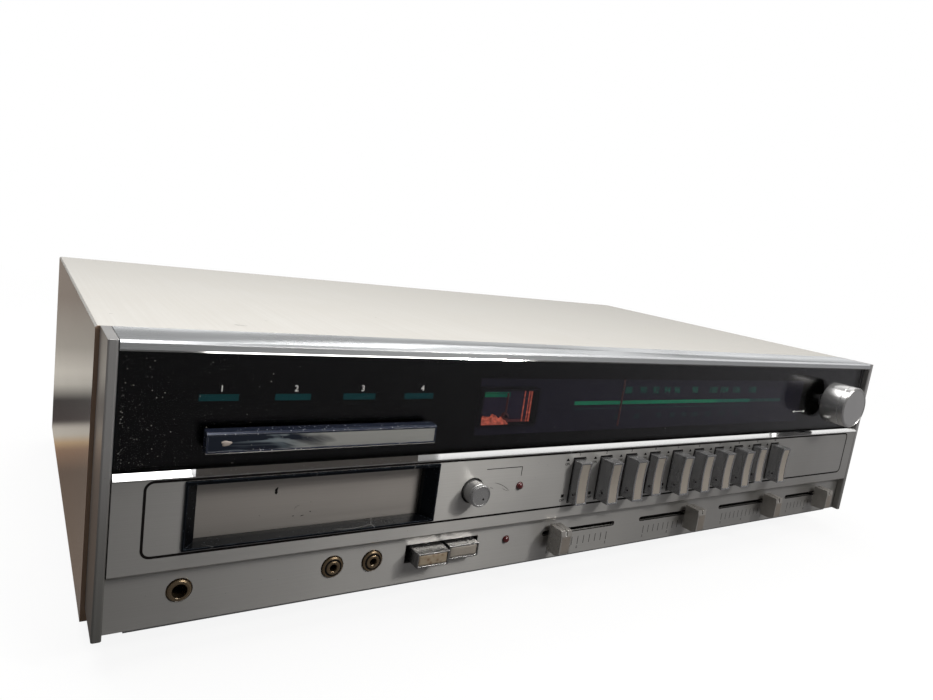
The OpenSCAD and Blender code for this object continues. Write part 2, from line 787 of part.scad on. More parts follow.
// One switch body with a blind hole for a plunger
module switch_body(x, z, w, h) {
    difference() {
        block(x, frame_back, z - h / 2, [w, switch_d, h]);
        rod(plunger / 2 + 0.4, 14, x, frame_back - 1, z);
    }
}
module function_switches() {
    color("saddlebrown") place() {
        switch_body(record_x, record_z, 16, 14);
        switch_body(forward_x, piano_z, 14, 10);
        switch_body(mode_x, piano_z, 14, 10);
        switch_body(bar_x, bar_z + bar_h / 2, 18, 12);
    }
}

// Picture-frame bezel: a proud flange, four bevels and a sleeve through the panel
module door_bezel() {
    bevel_y = 4;
    lip = 0.9;
    deep = bezel_back + bezel_front;
    outer_top = bezel_z + bezel_frame_h;
    half = bezel_w / 2;
    in_half = opening_w / 2;
    color("black") place() difference() {
        union() {
            block(door_x, -bezel_front, bezel_z, [bezel_w, bezel_front, bezel_frame_h]);
            block(door_x, -eps, bezel_z + 2 * gap,
                [bezel_w - 2 - 2 * gap, bezel_back + eps, bezel_frame_h - 4 * gap]);
        }
        block(door_x, -bezel_front - 1, opening_z, [opening_w, deep + 2, opening_h]);
        intersection() {
            along_x(bezel_w, door_x) polygon([[-bezel_front - eps, bezel_z + lip], [bevel_y, opening_z],
                [bevel_y, opening_top], [-bezel_front - eps, outer_top - lip - 0.6]]);
            translate([door_x, 0, 0]) linear_extrude(bezel_h) polygon([[-half + lip, -bezel_front - eps],
                [half - lip, -bezel_front - eps], [in_half, bevel_y], [-in_half, bevel_y]]);
        }
    }
}

module door_flap() {
    color("rosybrown") place() {
        block(door_x, flap_y, flap_bottom, [flap_w, flap_t, hinge_z - flap_bottom]);
        translate([door_x - flap_w / 2, hinge_y, hinge_z]) rotate([0, 90, 0])
            cylinder(h = flap_w, r = barrel_r);
        translate([door_x - flap_w / 2 - tray_wall, hinge_y, hinge_z]) rotate([0, 90, 0])
            cylinder(h = flap_w + 2 * tray_wall, r = hinge_r);
    }
}

// Tray for the cartridge: floor with runners, side walls with hinge bores, guide ribs and a roof
module cartridge_tray() {
    out_half = tray_half + tray_wall;
    rib = tray_half - cartridge_w / 2;
    color("dimgray") place() difference() {
        union() {
            block(door_x, tray_y, tray_base, [2 * out_half, tray_d, tray_wall]);
            block(door_x, tray_y, tray_roof, [2 * out_half, tray_d, tray_wall]);
            for (s = [-1, 1]) {
                block(door_x + s * (tray_half + tray_wall / 2), tray_y, tray_base,
                    [tray_wall, tray_d, tray_roof - tray_base + tray_wall]);
                block(door_x + s * (tray_half - rib / 2), guide_y, tray_floor - eps,
                    [rib, tray_y + tray_d - guide_y, tray_roof - tray_floor + 2 * eps]);
                block(door_x + s * 30, hinge_y + 10, tray_floor - eps,
                    [4, tray_y + tray_d - hinge_y - 10, runner_h]);
            }
        }
        translate([door_x - out_half - 1, hinge_y, hinge_z]) rotate([0, 90, 0])
            cylinder(h = 2 * out_half + 2, r = hinge_r + run_fit);
    }
}

module deck_plate() {
    leg_r = 3;
    left = door_x - deck_half;
    right = door_x + deck_half;
    front = frame_back + 4;
    back = motor_y + 36;
    color("lightslategray") place() difference() {
        union() {
            translate([left, front, deck_z]) cube([right - left, back - front, sheet_t]);
            for (x = [left + 6, right - 6], y = [front + 25, back - 6])
                translate([x, y, floor_z]) cylinder(h = deck_z - floor_z + eps, r = leg_r);
            translate([capstan_x, capstan_y, deck_z - 4]) cylinder(h = sheet_t + 7, r = 5);
            for (s = [-1, 1]) translate([head_x + s * 10, head_y + 8, deck_top - eps])
                cylinder(h = 24, r = 1.5);
        }
        translate([capstan_x, capstan_y, deck_z - 5]) cylinder(h = sheet_t + 9, r = capstan_r + run_fit);
        translate([motor_x, motor_y, deck_z - 1]) cylinder(h = sheet_t + 2, r = 8);
    }
}

module flywheel() {
    color("burlywood") place() translate([capstan_x, capstan_y, wheel_z]) {
        difference() {
            cylinder(h = wheel_t, r = wheel_r);
            translate([0, 0, wheel_t - 2.5]) difference() {
                cylinder(h = 4, r = wheel_r - 5);
                cylinder(h = 9, r = 8, center = true);
            }
        }
        translate([0, 0, -4]) cylinder(h = tray_roof - 6 - wheel_z + 4, r = capstan_r);
    }
}

module drive_motor() {
    color("silver") place() translate([motor_x, motor_y, deck_top]) difference() {
        union() {
            cylinder(h = motor_h, r = motor_r);
            translate([0, 0, motor_h - eps]) cylinder(h = 3, r = 6);
        }
        translate([0, 0, -1]) cylinder(h = 9, r = capstan_r + run_fit);
    }
}

module motor_pulley() {
    color("gold") place() translate([motor_x, motor_y, wheel_z]) {
        cylinder(h = wheel_t, r = drive_pulley_r);
        cylinder(h = deck_top + 7 - wheel_z, r = capstan_r);
    }
}

module drive_belt() {
    color("black") place() translate([0, 0, belt_z]) linear_extrude(belt_h) ring_path([
        [capstan_x, capstan_y, wheel_r + gap + belt_t / 2],
        [motor_x, motor_y, drive_pulley_r + gap + belt_t / 2]], belt_t);
}

module head_carriage() {
    color("gray") place() difference() {
        union() {
            block(head_x, head_y + 4, deck_top + 4, [28, 8, 14]);
            block(head_x + 4, head_y + 1, deck_top + 7, [12, 4, 9]);
        }
        for (s = [-1, 1]) translate([head_x + s * 10, head_y + 8, deck_top])
            cylinder(h = 30, r = 1.5 + run_fit);
    }
}

module record_button() {
    out = record_out;
    color("lightgray") place() {
        translate([record_x, -out, record_z]) rotate([-90, 0, 0]) rotate_extrude()
            polygon([[0, 0.35], [record_r - 1.3, 0.35], [record_r - 1, 0], [record_r - 0.7, 0],
                [record_r - 0.1, 0.7], [record_r - 0.1, 1.6], [record_r - 0.35, 1.8], [record_r, 2],
                [record_r, out + 6], [0, out + 6]]);
        rod(plunger / 2, frame_back + 4 - 5.9, record_x, 5.9, record_z);
    }
}

// Chrome-rimmed piano button: a hollow front frame, a body and a plunger
module piano_button(x, out) {
    rim = 0.7;
    color("gainsboro") place() {
        difference() {
            block(x, -out, piano_z - piano_h / 2, [piano_w, button_back + out, piano_h]);
            block(x, -out - 1, piano_z - piano_h / 2 + rim, [piano_w - 2 * rim, 1.8, piano_h - 2 * rim]);
        }
        rod(plunger / 2, frame_back + 4 - button_back + eps, x, button_back - eps, piano_z);
    }
}
module fast_forward_button() {
    piano_button(forward_x, forward_out);
}
module mode_button() {
    piano_button(mode_x, mode_out);
}

// A tall key: hollow-curved front with a sunk strip, and a stem that runs into the bank
module push_key(i) {
    depth = latched[i] ? key_travel : 0;
    arc_r = key_h * key_h / (8 * key_hollow) + key_hollow / 2;
    rim = 1;
    color("lightgray") place() translate([lies(i), depth, keys_z]) difference() {
        union() {
            block(0, -key_out, -key_h / 2, [key_w, key_out + key_back, key_h]);
            block(0, key_back - eps, -stem_h / 2, [stem_w, stem_end - key_back, stem_h]);
        }
        translate([-key_w, -key_out + key_hollow - arc_r, 0]) rotate([0, 90, 0])
            cylinder(h = 2 * key_w, r = arc_r, $fn = 96);
        intersection() {
            translate([-key_w, -key_out + key_hollow + 0.5 - arc_r, 0]) rotate([0, 90, 0])
                cylinder(h = 2 * key_w, r = arc_r, $fn = 96);
            block(0, -key_out - 1, -key_h / 2 + rim, [key_w - 2 * rim, 6, key_h - 2 * rim]);
        }
    }
}
module key_1() {
    push_key(0);
}
module key_2() {
    push_key(1);
}
module key_3() {
    push_key(2);
}
module key_4() {
    push_key(3);
}
module key_5() {
    push_key(4);
}
module key_6() {
    push_key(5);
}
module key_7() {
    push_key(6);
}
module key_8() {
    push_key(7);
}
module key_9() {
    push_key(8);
}
module key_10() {
    push_key(9);
}

// Bank of ten push switches behind the keys, with a pocket for each stem
module switch_bank() {
    step = key_pitch * spread;
    mid = keys_x * spread;
    w = key_count * step + 4;
    h = 20;
    deep = frame_y - bank_y;
    pocket = stem_end + key_travel + 0.6 - bank_y;
    color("darkgray") place() difference() {
        block(mid, bank_y, keys_z - h / 2, [w, deep, h]);
        for (i = [0 : key_count - 1])
            block(lies(i), bank_y - 1, keys_z - stem_h / 2 - gap,
                [stem_w + 2 * gap, pocket + 1, stem_h + 2 * gap]);
        for (i = [1 : key_count - 1])
            block(mid + (i - key_count / 2) * step, bank_y - 1, keys_z - h, [0.8, 3, 2 * h]);
    }
}

// Slider knob: block with a bevelled brow, a chamfered chin, a pointer groove and a flat lever
module slider_knob(i) {
    z0 = slider_z - 1.35 - slider_h / 2;
    z1 = z0 + slider_h;
    brow = 3.2;
    groove = 1.2;
    color("lightgray") place() translate([slider_mid(i) + slider_at[i], 0, 0]) {
        difference() {
            along_x(slider_w) polygon([[slider_back, z0], [-slider_out + 3.3, z0], [-slider_out, z0 + 1.7],
                [-slider_out, z1 - brow], [-slider_out + 0.7, z1], [slider_back, z1]]);
            block(0, -slider_out - 1, z1 - groove, [groove, slider_out + slider_back + 2, groove + 1]);
            block(0, -slider_out - 1, z1 - brow, [groove, 2, brow + 1]);
        }
        block(0, slider_back - eps, slider_z - lever_t / 2, [lever_w, control_y + 3 - slider_back, lever_t]);
    }
}
module slider_knob_1() {
    slider_knob(0);
}
module slider_knob_2() {
    slider_knob(1);
}
module slider_knob_3() {
    slider_knob(2);
}
module slider_knob_4() {
    slider_knob(3);
}

module slide_controls() {
    color("dimgray") place() for (i = [0 : 3]) difference() {
        block(slider_mid(i), control_y, slider_z - control_h / 2, [control_l, control_d, control_h]);
        block(slider_mid(i), control_y - 1, slider_z - 1.3, [slot_l - 2, 6, 2.6]);
    }
}

// Red lamps: a lens with a domed end and a holder behind the panel
module indicator_lamp(front, back, z) {
    rod(lamp_r, back + 2 - front, lamp_x, front, z);
    translate([lamp_x, front, z]) sphere(r = lamp_r);
    rod(lamp_r + 1.2, 6, lamp_x, back + gap, z);
}
module indicator_lamps() {
    color("darkred") place() {
        indicator_lamp(0.4, panel_t, record_z);
        indicator_lamp(lower_y + 0.4, panel_back, piano_z);
    }
}

// Phones jack and two microphone jacks: a threaded collar, a body and a bore
module jack(x, collar, bore, w, deep) {
    front = lower_y - 1.2;
    difference() {
        union() {
            translate([x, front, jack_z]) rotate([-90, 0, 0]) rotate_extrude()
                polygon([[0, 0], [collar - 0.6, 0], [collar, 0.6], [collar, panel_back + gap - front + 1],
                    [0, panel_back + gap - front + 1]]);
            block(x, panel_back + gap, jack_z - w / 2, [w, deep, w]);
        }
        rod(bore, panel_back + deep - 3 - front, x, front - 1, jack_z);
    }
}
module front_jacks() {
    color("goldenrod") place() {
        jack(phones_x, 4.85, phones_r, 15, 32);
        for (i = [0, 1]) jack(mic_x + i * mic_pitch, 5.15, mic_r, 13, 18);
    }
}

module power_transformer() {
    color("darkgoldenrod") place() {
        block(transformer_x, transformer_y, floor_z, [76, 46, 3]);
        block(transformer_x, transformer_y + 6, floor_z + 3 - eps, [62, 34, 50]);
        block(transformer_x, transformer_y - 4, floor_z + 10, [36, 54, 36]);
    }
}

// Amplifier board with its cans and finned heat sink, and the tuner board on posts
module circuit_boards() {
    base = floor_z + post_h;
    inset = 7;
    fin_pitch = 10;
    coil_pitch = 24;
    sink_x = amp_mid - 7.5;
    can_y = amp_y + 24;
    color("darkgreen") place() {
        translate([amp_left, amp_y, base]) cube([amp_right - amp_left, amp_d, board_h]);
        for (x = [amp_left + inset, amp_right - inset], y = [amp_y + inset, amp_y + amp_d - inset])
            translate([x, y, floor_z]) cylinder(h = post_h + eps, r = 3);
        for (x = [amp_left + 25, amp_left + 51, amp_right - 70])
            translate([x, can_y, base]) cylinder(h = 42, r = 10);
        for (i = [0 : 5]) translate([amp_mid - 27.5 + i * 15, can_y, base]) cylinder(h = 16, r = 4);
        block(sink_x, amp_y + amp_d - 30, base, [sink_w, 4, sink_h]);
        for (i = [-5.5 : 5.5])
            block(sink_x + i * fin_pitch, amp_y + amp_d - 26 - eps, base, [1.6, 16, sink_h]);
        translate([tuner_left, tuner_y, base]) cube([tuner_w, tuner_d, board_h]);
        for (x = [tuner_left + inset, tuner_left + tuner_w - inset],
            y = [tuner_y + inset, tuner_y + tuner_d - inset])
            translate([x, y, floor_z]) cylinder(h = post_h + eps, r = 3);
        for (i = [0 : 4])
            block(tuner_left + 20 + i * coil_pitch, tuner_y + tuner_d / 2, base, [10, 10, 18]);
    }
}

// Phono sockets, screw terminals and the cord bush on the rear panel
module rear_sockets() {
    out = rear_y + sheet_t;
    plate_t = 1.5;
    low_z = 16;
    terminal_pitch = 13;
    color("tan") place() {
        block(socket_x, out, low_z - 8, [4 * socket_pitch + 4, plate_t, 2 * socket_pitch - 2]);
        for (i = [-1.5 : 1.5], row = [0, 1]) difference() {
            rod(phono_r, 10, socket_x + i * socket_pitch, out + plate_t - eps, low_z + row * socket_pitch);
            rod(phono_pin_r, 10, socket_x + i * socket_pitch, out + 2 * plate_t, low_z + row * socket_pitch);
        }
        block(terminal_x, out, rear_hole_z - 8, [5 * terminal_pitch + 5, 5, 16]);
        for (i = [-2 : 2]) rod(3.2, 4, terminal_x + i * terminal_pitch, out + 5 - eps, rear_hole_z);
        difference() {
            union() {
                rod(8, 3, bush_x, out, rear_hole_z);
                rod(5.9, sheet_t + 2, bush_x, rear_y - 2, rear_hole_z);
            }
            rod(3, 20, bush_x, rear_y - 5, rear_hole_z);
        }
    }
}

cabinet_sleeve();
base_chassis();
rear_panel();
feet();
end_cap_left();
end_cap_right();
top_trim();
ledge_trim();
control_panel();
front_frame();
dial_glass();
dial_plate();
pointer_rail();
dial_pointer();
tuning_knob();
tuning_spindle();
tuning_drum();
tuning_capacitor();
cord_pulley_left();
cord_pulley_middle();
cord_pulley_right();
dial_cord();
tuning_meter();
meter_needle();
pilot_lamps();
selector_bar();
function_switches();
door_bezel();
door_flap();
cartridge_tray();
deck_plate();
flywheel();
drive_motor();
motor_pulley();
drive_belt();
head_carriage();
record_button();
fast_forward_button();
mode_button();
key_1();
key_2();
key_3();
key_4();
key_5();
key_6();
key_7();
key_8();
key_9();
key_10();
switch_bank();
slider_knob_1();
slider_knob_2();
slider_knob_3();
slider_knob_4();
slide_controls();
indicator_lamps();
front_jacks();
power_transformer();
circuit_boards();
rear_sockets();
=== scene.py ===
import math

import bmesh
import bpy
import numpy as np
from mathutils import Matrix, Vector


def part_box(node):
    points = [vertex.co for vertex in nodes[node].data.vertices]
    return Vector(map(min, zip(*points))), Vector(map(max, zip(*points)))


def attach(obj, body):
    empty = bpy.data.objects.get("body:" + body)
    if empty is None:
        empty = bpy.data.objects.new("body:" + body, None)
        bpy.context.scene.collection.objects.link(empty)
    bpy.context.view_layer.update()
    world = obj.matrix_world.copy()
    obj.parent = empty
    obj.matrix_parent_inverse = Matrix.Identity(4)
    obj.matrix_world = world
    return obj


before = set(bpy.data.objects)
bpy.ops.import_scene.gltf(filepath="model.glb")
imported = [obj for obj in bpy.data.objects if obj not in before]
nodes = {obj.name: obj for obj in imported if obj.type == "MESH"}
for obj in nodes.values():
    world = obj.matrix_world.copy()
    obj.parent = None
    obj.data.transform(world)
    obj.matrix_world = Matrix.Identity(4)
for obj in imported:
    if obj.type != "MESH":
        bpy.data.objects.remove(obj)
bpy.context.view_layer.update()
mm = 0.001
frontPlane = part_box("end_cap_left")[0].y  # front plane of the end caps
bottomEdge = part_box("end_cap_left")[0].z  # their lower edge


def node(tree, kind, links=None, **values):
    # a new node with its settings; each input gets either a link or a number
    item = tree.nodes.new(kind)
    for key, value in values.items():
        setattr(item, key, value)
    for key, value in (links or {}).items():
        if isinstance(value, bpy.types.NodeSocket):
            tree.links.new(value, item.inputs[key])
        else:
            item.inputs[key].default_value = value
    return item


def blendColors(tree, share, a, b, mode="MIX"):
    # a times one minus share, plus b times share, unless mode says otherwise
    item = node(tree, "ShaderNodeMix", data_type="RGBA", blend_type=mode)
    for key, value in (("Factor_Float", share), ("A_Color", a), ("B_Color", b)):
        target = next(s for s in item.inputs if s.identifier == key)
        if isinstance(value, bpy.types.NodeSocket):
            tree.links.new(value, target)
        else:
            target.default_value = value if key == "Factor_Float" else (*value, 1)[:4]
    return next(s for s in item.outputs if s.identifier == "Result_Color")


def maths(tree, kind, *values):
    # one sum on numbers; MULTIPLY_ADD is the first times the second, plus the third
    return node(tree, "ShaderNodeMath", dict(enumerate(values)), operation=kind).outputs[0]


def vectorMaths(tree, kind, *values):
    # one sum on vectors, which is a number for a length or a dot product
    item = node(tree, "ShaderNodeVectorMath", dict(enumerate(values)), operation=kind)
    return item.outputs["Value" if kind in ("LENGTH", "DOT_PRODUCT") else "Vector"]


def mapRange(tree, value, source=(0.0, 1.0), target=(0.0, 1.0)):
    # source's range carried over to target's in a straight line, held at both ends
    ends = dict(zip(("From Min", "From Max", "To Min", "To Max"), (*source, *target)))
    links = {"Value": value, **ends}
    return node(tree, "ShaderNodeMapRange", links).outputs["Result"]


def noise(tree, vector, scale, detail, rough=0.5, bend=0.0):
    # cloudy noise: one number in Fac, three in Color
    links = {"Vector": vector, "Scale": scale, "Detail": detail, "Roughness": rough, "Distortion": bend}
    return node(tree, "ShaderNodeTexNoise", links).outputs


def axisOf(tree, vector, axis):
    # one number of a vector: X, Y or Z
    return node(tree, "ShaderNodeSeparateXYZ", {0: vector}).outputs[axis]


def colorRamp(tree, share, stops):
    # a colour that follows share through stops of (place, red, green, blue)
    item = node(tree, "ShaderNodeValToRGB", {"Fac": share})
    bar = item.color_ramp
    for k, (place, r, g, b) in enumerate(stops):
        stop = bar.elements[k] if k < 2 else bar.elements.new(1.0)
        stop.position = place
        stop.color = (r, g, b, 1)
    return item.outputs["Color"]


# solved on the photo's straight edges; right, down and ahead are unit vectors
camera = {
    "place": (-0.30201, -0.41911, 0.19198),
    "right": (0.83474201, -0.53285726, 0.1388125),
    "down": (0.02876725, -0.20954706, -0.9773753),
    "ahead": (0.54988928, 0.81984948, -0.1595889),
    "lens": 26.72,
    "sensor": 36,
    "clip": (0.01, 50),
}


def makeCamera():
    # the turn's columns are right, up and back, so down and ahead change sign
    data = bpy.data.cameras.new("photoCamera")
    data.lens = camera["lens"]
    data.sensor_width = camera["sensor"]
    data.clip_start, data.clip_end = camera["clip"]
    item = bpy.data.objects.new("photoCamera", data)
    r, d, a = (np.array(camera[k]) for k in ("right", "down", "ahead"))
    turn = Matrix([[r[i], -d[i], -a[i]] for i in range(3)]).to_4x4()
    item.matrix_world = Matrix.Translation(camera["place"]) @ turn
    bpy.context.collection.objects.link(item)
    bpy.context.scene.camera = item


makeCamera()

stage = {
    "floorHalf": 8.0,
    "floorColor": (0.11, 0.107, 0.10),  # what lights the object from below
    "floorSeen": (0.86, 0.86, 0.85),
    "floorWhite": 0.90,  # share of plain white the camera sees on the floor under the object
    "fade": (0.35, 1.3),  # distances between which that share rises to one
    # what polished parts see of the floor, as (y, red, green, blue): a dark table that ends behind
    # the cabinet, and a paler floor beyond
    "table": [
        (-0.50, 0.105, 0.104, 0.107), (-0.13, 0.098, 0.096, 0.098), (-0.06, 0.14, 0.10, 0.075),
        (0.09, 0.10, 0.065, 0.045), (0.135, 0.22, 0.13, 0.08), (0.150, 0.40, 0.27, 0.15),
        (0.170, 0.46, 0.42, 0.36), (0.188, 0.43, 0.39, 0.34), (0.205, 0.03, 0.02, 0.02),
        (0.270, 0.02, 0.015, 0.015), (0.325, 0.45, 0.42, 0.37), (0.375, 0.54, 0.50, 0.44),
        (0.50, 0.33, 0.30, 0.26), (0.90, 0.22, 0.18, 0.15)],
    "tableY": (-0.5, 1.0),  # ends of the colour ramp
    "brighterX": (-0.28, 0.62),  # the table's strength rises between these two places
    "strength": (1.03, 2.9),
    "worldLight": 0.05,
    "reflectLight": 0.07,
}


def makeFloor():
    # white paper for the camera; for glossy rays a table whose colour follows y and whose strength follows x
    v = stage
    mesh = bpy.data.meshes.new("floor")
    s = v["floorHalf"]
    mesh.from_pydata([(-s, -s, 0), (s, -s, 0), (s, s, 0), (-s, s, 0)], [], [(0, 1, 2, 3)])
    floor = bpy.data.objects.new("floor", mesh)
    bpy.context.collection.objects.link(floor)
    mat = bpy.data.materials.new("floorPaper")
    mat.use_nodes = True
    t = mat.node_tree
    t.nodes.clear()
    path = node(t, "ShaderNodeLightPath")
    seen = path.outputs["Is Camera Ray"]
    place = node(t, "ShaderNodeTexCoord").outputs["Object"]
    matt = node(t, "ShaderNodeBsdfDiffuse", {"Color": blendColors(t, seen, v["floorColor"], v["floorSeen"])})
    white = node(t, "ShaderNodeEmission")
    fade = mapRange(t, vectorMaths(t, "LENGTH", place), v["fade"], (v["floorWhite"], 1.0))
    share = maths(t, "MULTIPLY", seen, fade)
    paper = node(t, "ShaderNodeMixShader", {"Fac": share, 1: matt.outputs[0], 2: white.outputs[0]})
    low, high = v["tableY"]
    stops = [((y - low) / (high - low), *color) for y, *color in v["table"]]
    color = colorRamp(t, mapRange(t, axisOf(t, place, "Y"), v["tableY"]), stops)
    strength = mapRange(t, axisOf(t, place, "X"), v["brighterX"], v["strength"])
    table = node(t, "ShaderNodeEmission", {"Color": color, "Strength": strength})
    glossy = path.outputs["Is Glossy Ray"]
    shown = node(t, "ShaderNodeMixShader", {"Fac": glossy, 1: paper.outputs[0], 2: table.outputs[0]})
    node(t, "ShaderNodeOutputMaterial", {"Surface": shown.outputs[0]})
    mesh.materials.append(mat)


def makeWorld():
    # white whose strength runs from worldLight for diffuse rays to one for the camera; glossy and
    # transmission rays stand at reflectLight on that way
    world = bpy.data.worlds.new("studio")
    world.use_nodes = True
    bpy.context.scene.world = world
    t = world.node_tree
    t.nodes.clear()
    path = node(t, "ShaderNodeLightPath")
    either = maths(t, "MAXIMUM", path.outputs["Is Glossy Ray"], path.outputs["Is Transmission Ray"])
    mirror = maths(t, "MULTIPLY", either, stage["reflectLight"])
    seen = maths(t, "MAXIMUM", path.outputs["Is Camera Ray"], mirror)
    level = mapRange(t, seen, target=(stage["worldLight"], 1.0))
    back = node(t, "ShaderNodeBackground", {"Color": (1, 1, 1, 1), "Strength": level})
    node(t, "ShaderNodeOutputWorld", {"Surface": back.outputs[0]})


makeFloor()
makeWorld()

lamps = {
    "key": {"place": (0.70, -1.0, 0.88), "aim": (0, 0, 0.06), "size": (0.15, 0.15),
        "watts": 5.2, "color": (1.0, 0.98, 0.95)},
    "front": {"place": (0.443, -1.2, 1.1), "aim": (0, 0, 0.06), "size": (0.69, 0.69),
        "watts": 8.2, "color": (1.0, 0.985, 0.96)},
    "above": {"place": (-0.43, 0.1, 1.5), "aim": (-0.43, 0.1001, 0), "size": (1.1, 1.2),
        "watts": 23.5, "color": (1.0, 0.995, 0.99)},
    "between": {"place": (0.44, 0.1, 1.5), "aim": (0.44, 0.1001, 0), "size": (0.64, 1.2),
        "watts": 0.8, "color": (1.0, 0.995, 0.98)},
    "right": {"place": (2.0, 1.0, 1.5), "aim": (2.0, 1.0001, 0), "size": (2.5, 3.0),
        "watts": 30, "color": (1.0, 0.995, 0.99)},
    "behind": {"place": (0.7, 2.2, 1.8), "aim": (0, 0.15, 0.06), "size": (0.8, 0.8),
        "watts": 15, "color": (1.0, 0.995, 0.985)},
    "left": {"place": (-1.7, 0.3, 1.0), "aim": (0, 0, 0.06), "size": (0.9, 0.9),
        "watts": 2.4, "color": (0.97, 0.98, 1.0)},
}


def makeLamps():
    # each lamp's back is the unit vector from aim to place; its side is level and square to the back
    for name, v in lamps.items():
        data = bpy.data.lights.new(name, "AREA")
        data.shape = "RECTANGLE"
        data.size, data.size_y = v["size"]
        data.energy = v["watts"]
        data.color = v["color"]
        item = bpy.data.objects.new(name, data)
        p = np.array(v["place"])
        back = p - np.array(v["aim"])
        back = back / np.linalg.norm(back)
        side = np.cross([0, 0, 1.0], back)
        side = side / np.linalg.norm(side)
        up = np.cross(back, side)
        turn = Matrix(np.array([side, up, back]).T.tolist()).to_4x4()
        item.matrix_world = Matrix.Translation(p.tolist()) @ turn
        bpy.context.collection.objects.link(item)


makeLamps()
bpy.context.scene.view_settings.view_transform = "Standard"
print("stage: camera, floor and light")


def newGroup(name, inputs, outputs):
    # an empty node group with its sockets, its input node's sockets and its output node
    tree = bpy.data.node_groups.new(name, "ShaderNodeTree")
    for label, kind, value in inputs:
        s = tree.interface.new_socket(label, in_out="INPUT", socket_type=kind)
        if value is not None:
            s.default_value = value
    for label, kind in outputs:
        tree.interface.new_socket(label, in_out="OUTPUT", socket_type=kind)
    return tree, tree.nodes.new("NodeGroupInput").outputs, tree.nodes.new("NodeGroupOutput").inputs


streaks = {"detail": 3.0, "rough": 0.6, "broadScale": 14.0, "broadDetail": 4.0}


def makeGrainGroup():
    # fine streaks and a broad, slow change, both 0 to 1, from noise stretched by Scale
    v = streaks
    tree, a, z = newGroup("grainStreaks",
        [("Vector", "NodeSocketVector", None), ("Scale", "NodeSocketVector", (10, 900, 900))],
        [("Fine", "NodeSocketFloat"), ("Broad", "NodeSocketFloat")])
    place = vectorMaths(tree, "MULTIPLY", a["Vector"], a["Scale"])
    tree.links.new(noise(tree, place, 1.0, v["detail"], v["rough"])["Fac"], z["Fine"])
    tree.links.new(noise(tree, a["Vector"], v["broadScale"], v["broadDetail"])["Fac"], z["Broad"])
    return tree


wear = {
    "clumpScale": 30.0,  # where specks crowd
    "bendScale": 22.0,  # how scratches wander, and how far
    "bend": (0.02, 0.02, 0.02),
    "scratchScale": 36.0,
    "scratchWide": 0.012,
    "rare": (0.56, 0.66),  # scratches only where the clumps are this thick
}


def makeSpeckGroup():
    # specks lie nearer a cell's middle than clump times density; scratches are the cells' borders
    # where the clumps are thick
    v = wear
    tree, a, z = newGroup("specksAndScratches",
        [("Vector", "NodeSocketVector", None), ("Density", "NodeSocketFloat", 0.1),
            ("Scale", "NodeSocketFloat", 240.0)],
        [("Specks", "NodeSocketFloat"), ("Scratches", "NodeSocketFloat")])
    cells = node(tree, "ShaderNodeTexVoronoi", {"Vector": a["Vector"], "Scale": a["Scale"]})
    clump = noise(tree, a["Vector"], v["clumpScale"], 2.0)["Fac"]
    reach = maths(tree, "MULTIPLY", clump, a["Density"])
    tree.links.new(mapRange(tree, cells.outputs["Distance"], (reach, 0.0)), z["Specks"])
    shift = vectorMaths(tree, "MULTIPLY", noise(tree, a["Vector"], v["bendScale"], 1.0)["Color"], v["bend"])
    moved = vectorMaths(tree, "ADD", a["Vector"], shift)
    links = {"Vector": moved, "Scale": v["scratchScale"]}
    border = node(tree, "ShaderNodeTexVoronoi", links, feature="DISTANCE_TO_EDGE")
    line = mapRange(tree, border.outputs["Distance"], (v["scratchWide"], 0.0))
    tree.links.new(maths(tree, "MULTIPLY", line, mapRange(tree, clump, v["rare"])), z["Scratches"])
    return tree


edgeRub = {"samples": 4, "away": (0.995, 0.86), "scale": 160.0, "worn": (0.35, 0.6)}


def makeEdgeGroup():
    # bright along sharp edges: how far the rounded normal departs from the true one, broken up by noise
    v = edgeRub
    tree, a, z = newGroup("edgeRub",
        [("Vector", "NodeSocketVector", None), ("Radius", "NodeSocketFloat", 0.0006)],
        [("Edge", "NodeSocketFloat"), ("Normal", "NodeSocketVector")])
    soft = node(tree, "ShaderNodeBevel", {"Radius": a["Radius"]}, samples=v["samples"]).outputs[0]
    true = node(tree, "ShaderNodeNewGeometry").outputs["Normal"]
    away = mapRange(tree, vectorMaths(tree, "DOT_PRODUCT", soft, true), v["away"])
    worn = mapRange(tree, noise(tree, a["Vector"], v["scale"], 3.0)["Fac"], v["worn"])
    tree.links.new(maths(tree, "MULTIPLY", away, worn), z["Edge"])
    tree.links.new(soft, z["Normal"])
    return tree


grainGroup = makeGrainGroup()
speckGroup = makeSpeckGroup()
edgeGroup = makeEdgeGroup()

finishes = {}


def newFinish(name):
    # an empty material under its name: its tree, its shader's inputs and the object's own coordinates
    mat = bpy.data.materials.new(name)
    mat.use_nodes = True
    finishes[name] = mat
    t = mat.node_tree
    return t, t.nodes["Principled BSDF"].inputs, node(t, "ShaderNodeTexCoord").outputs["Object"]


# painted shade by height: edge is how far the lower edge is over the floor and full where the ramp ends, in
# millimetres
paintedShadeRamp = {"edge": 6, "full": 156, "scale": 9.0, "bend": 0.012}


def toneByHeight(t, place, stops):
    # painted shade: a multiplier that follows the height, darker towards the bottom: a ramp of (height in mm,
    # red, green, blue), bent a little by noise
    v = paintedShadeRamp
    wander = noise(t, place, v["scale"], 2.0)["Fac"]
    height = maths(t, "MULTIPLY_ADD", wander, v["bend"], axisOf(t, place, "Z"))
    stops = [((z + v["edge"]) / v["full"], *color) for z, *color in stops]
    return colorRamp(t, mapRange(t, height, (0.0, v["full"] * mm)), stops)


boardEdge = {"scale": 55.0, "bend": 0.0012, "soft": (0.0002, -0.0001)}


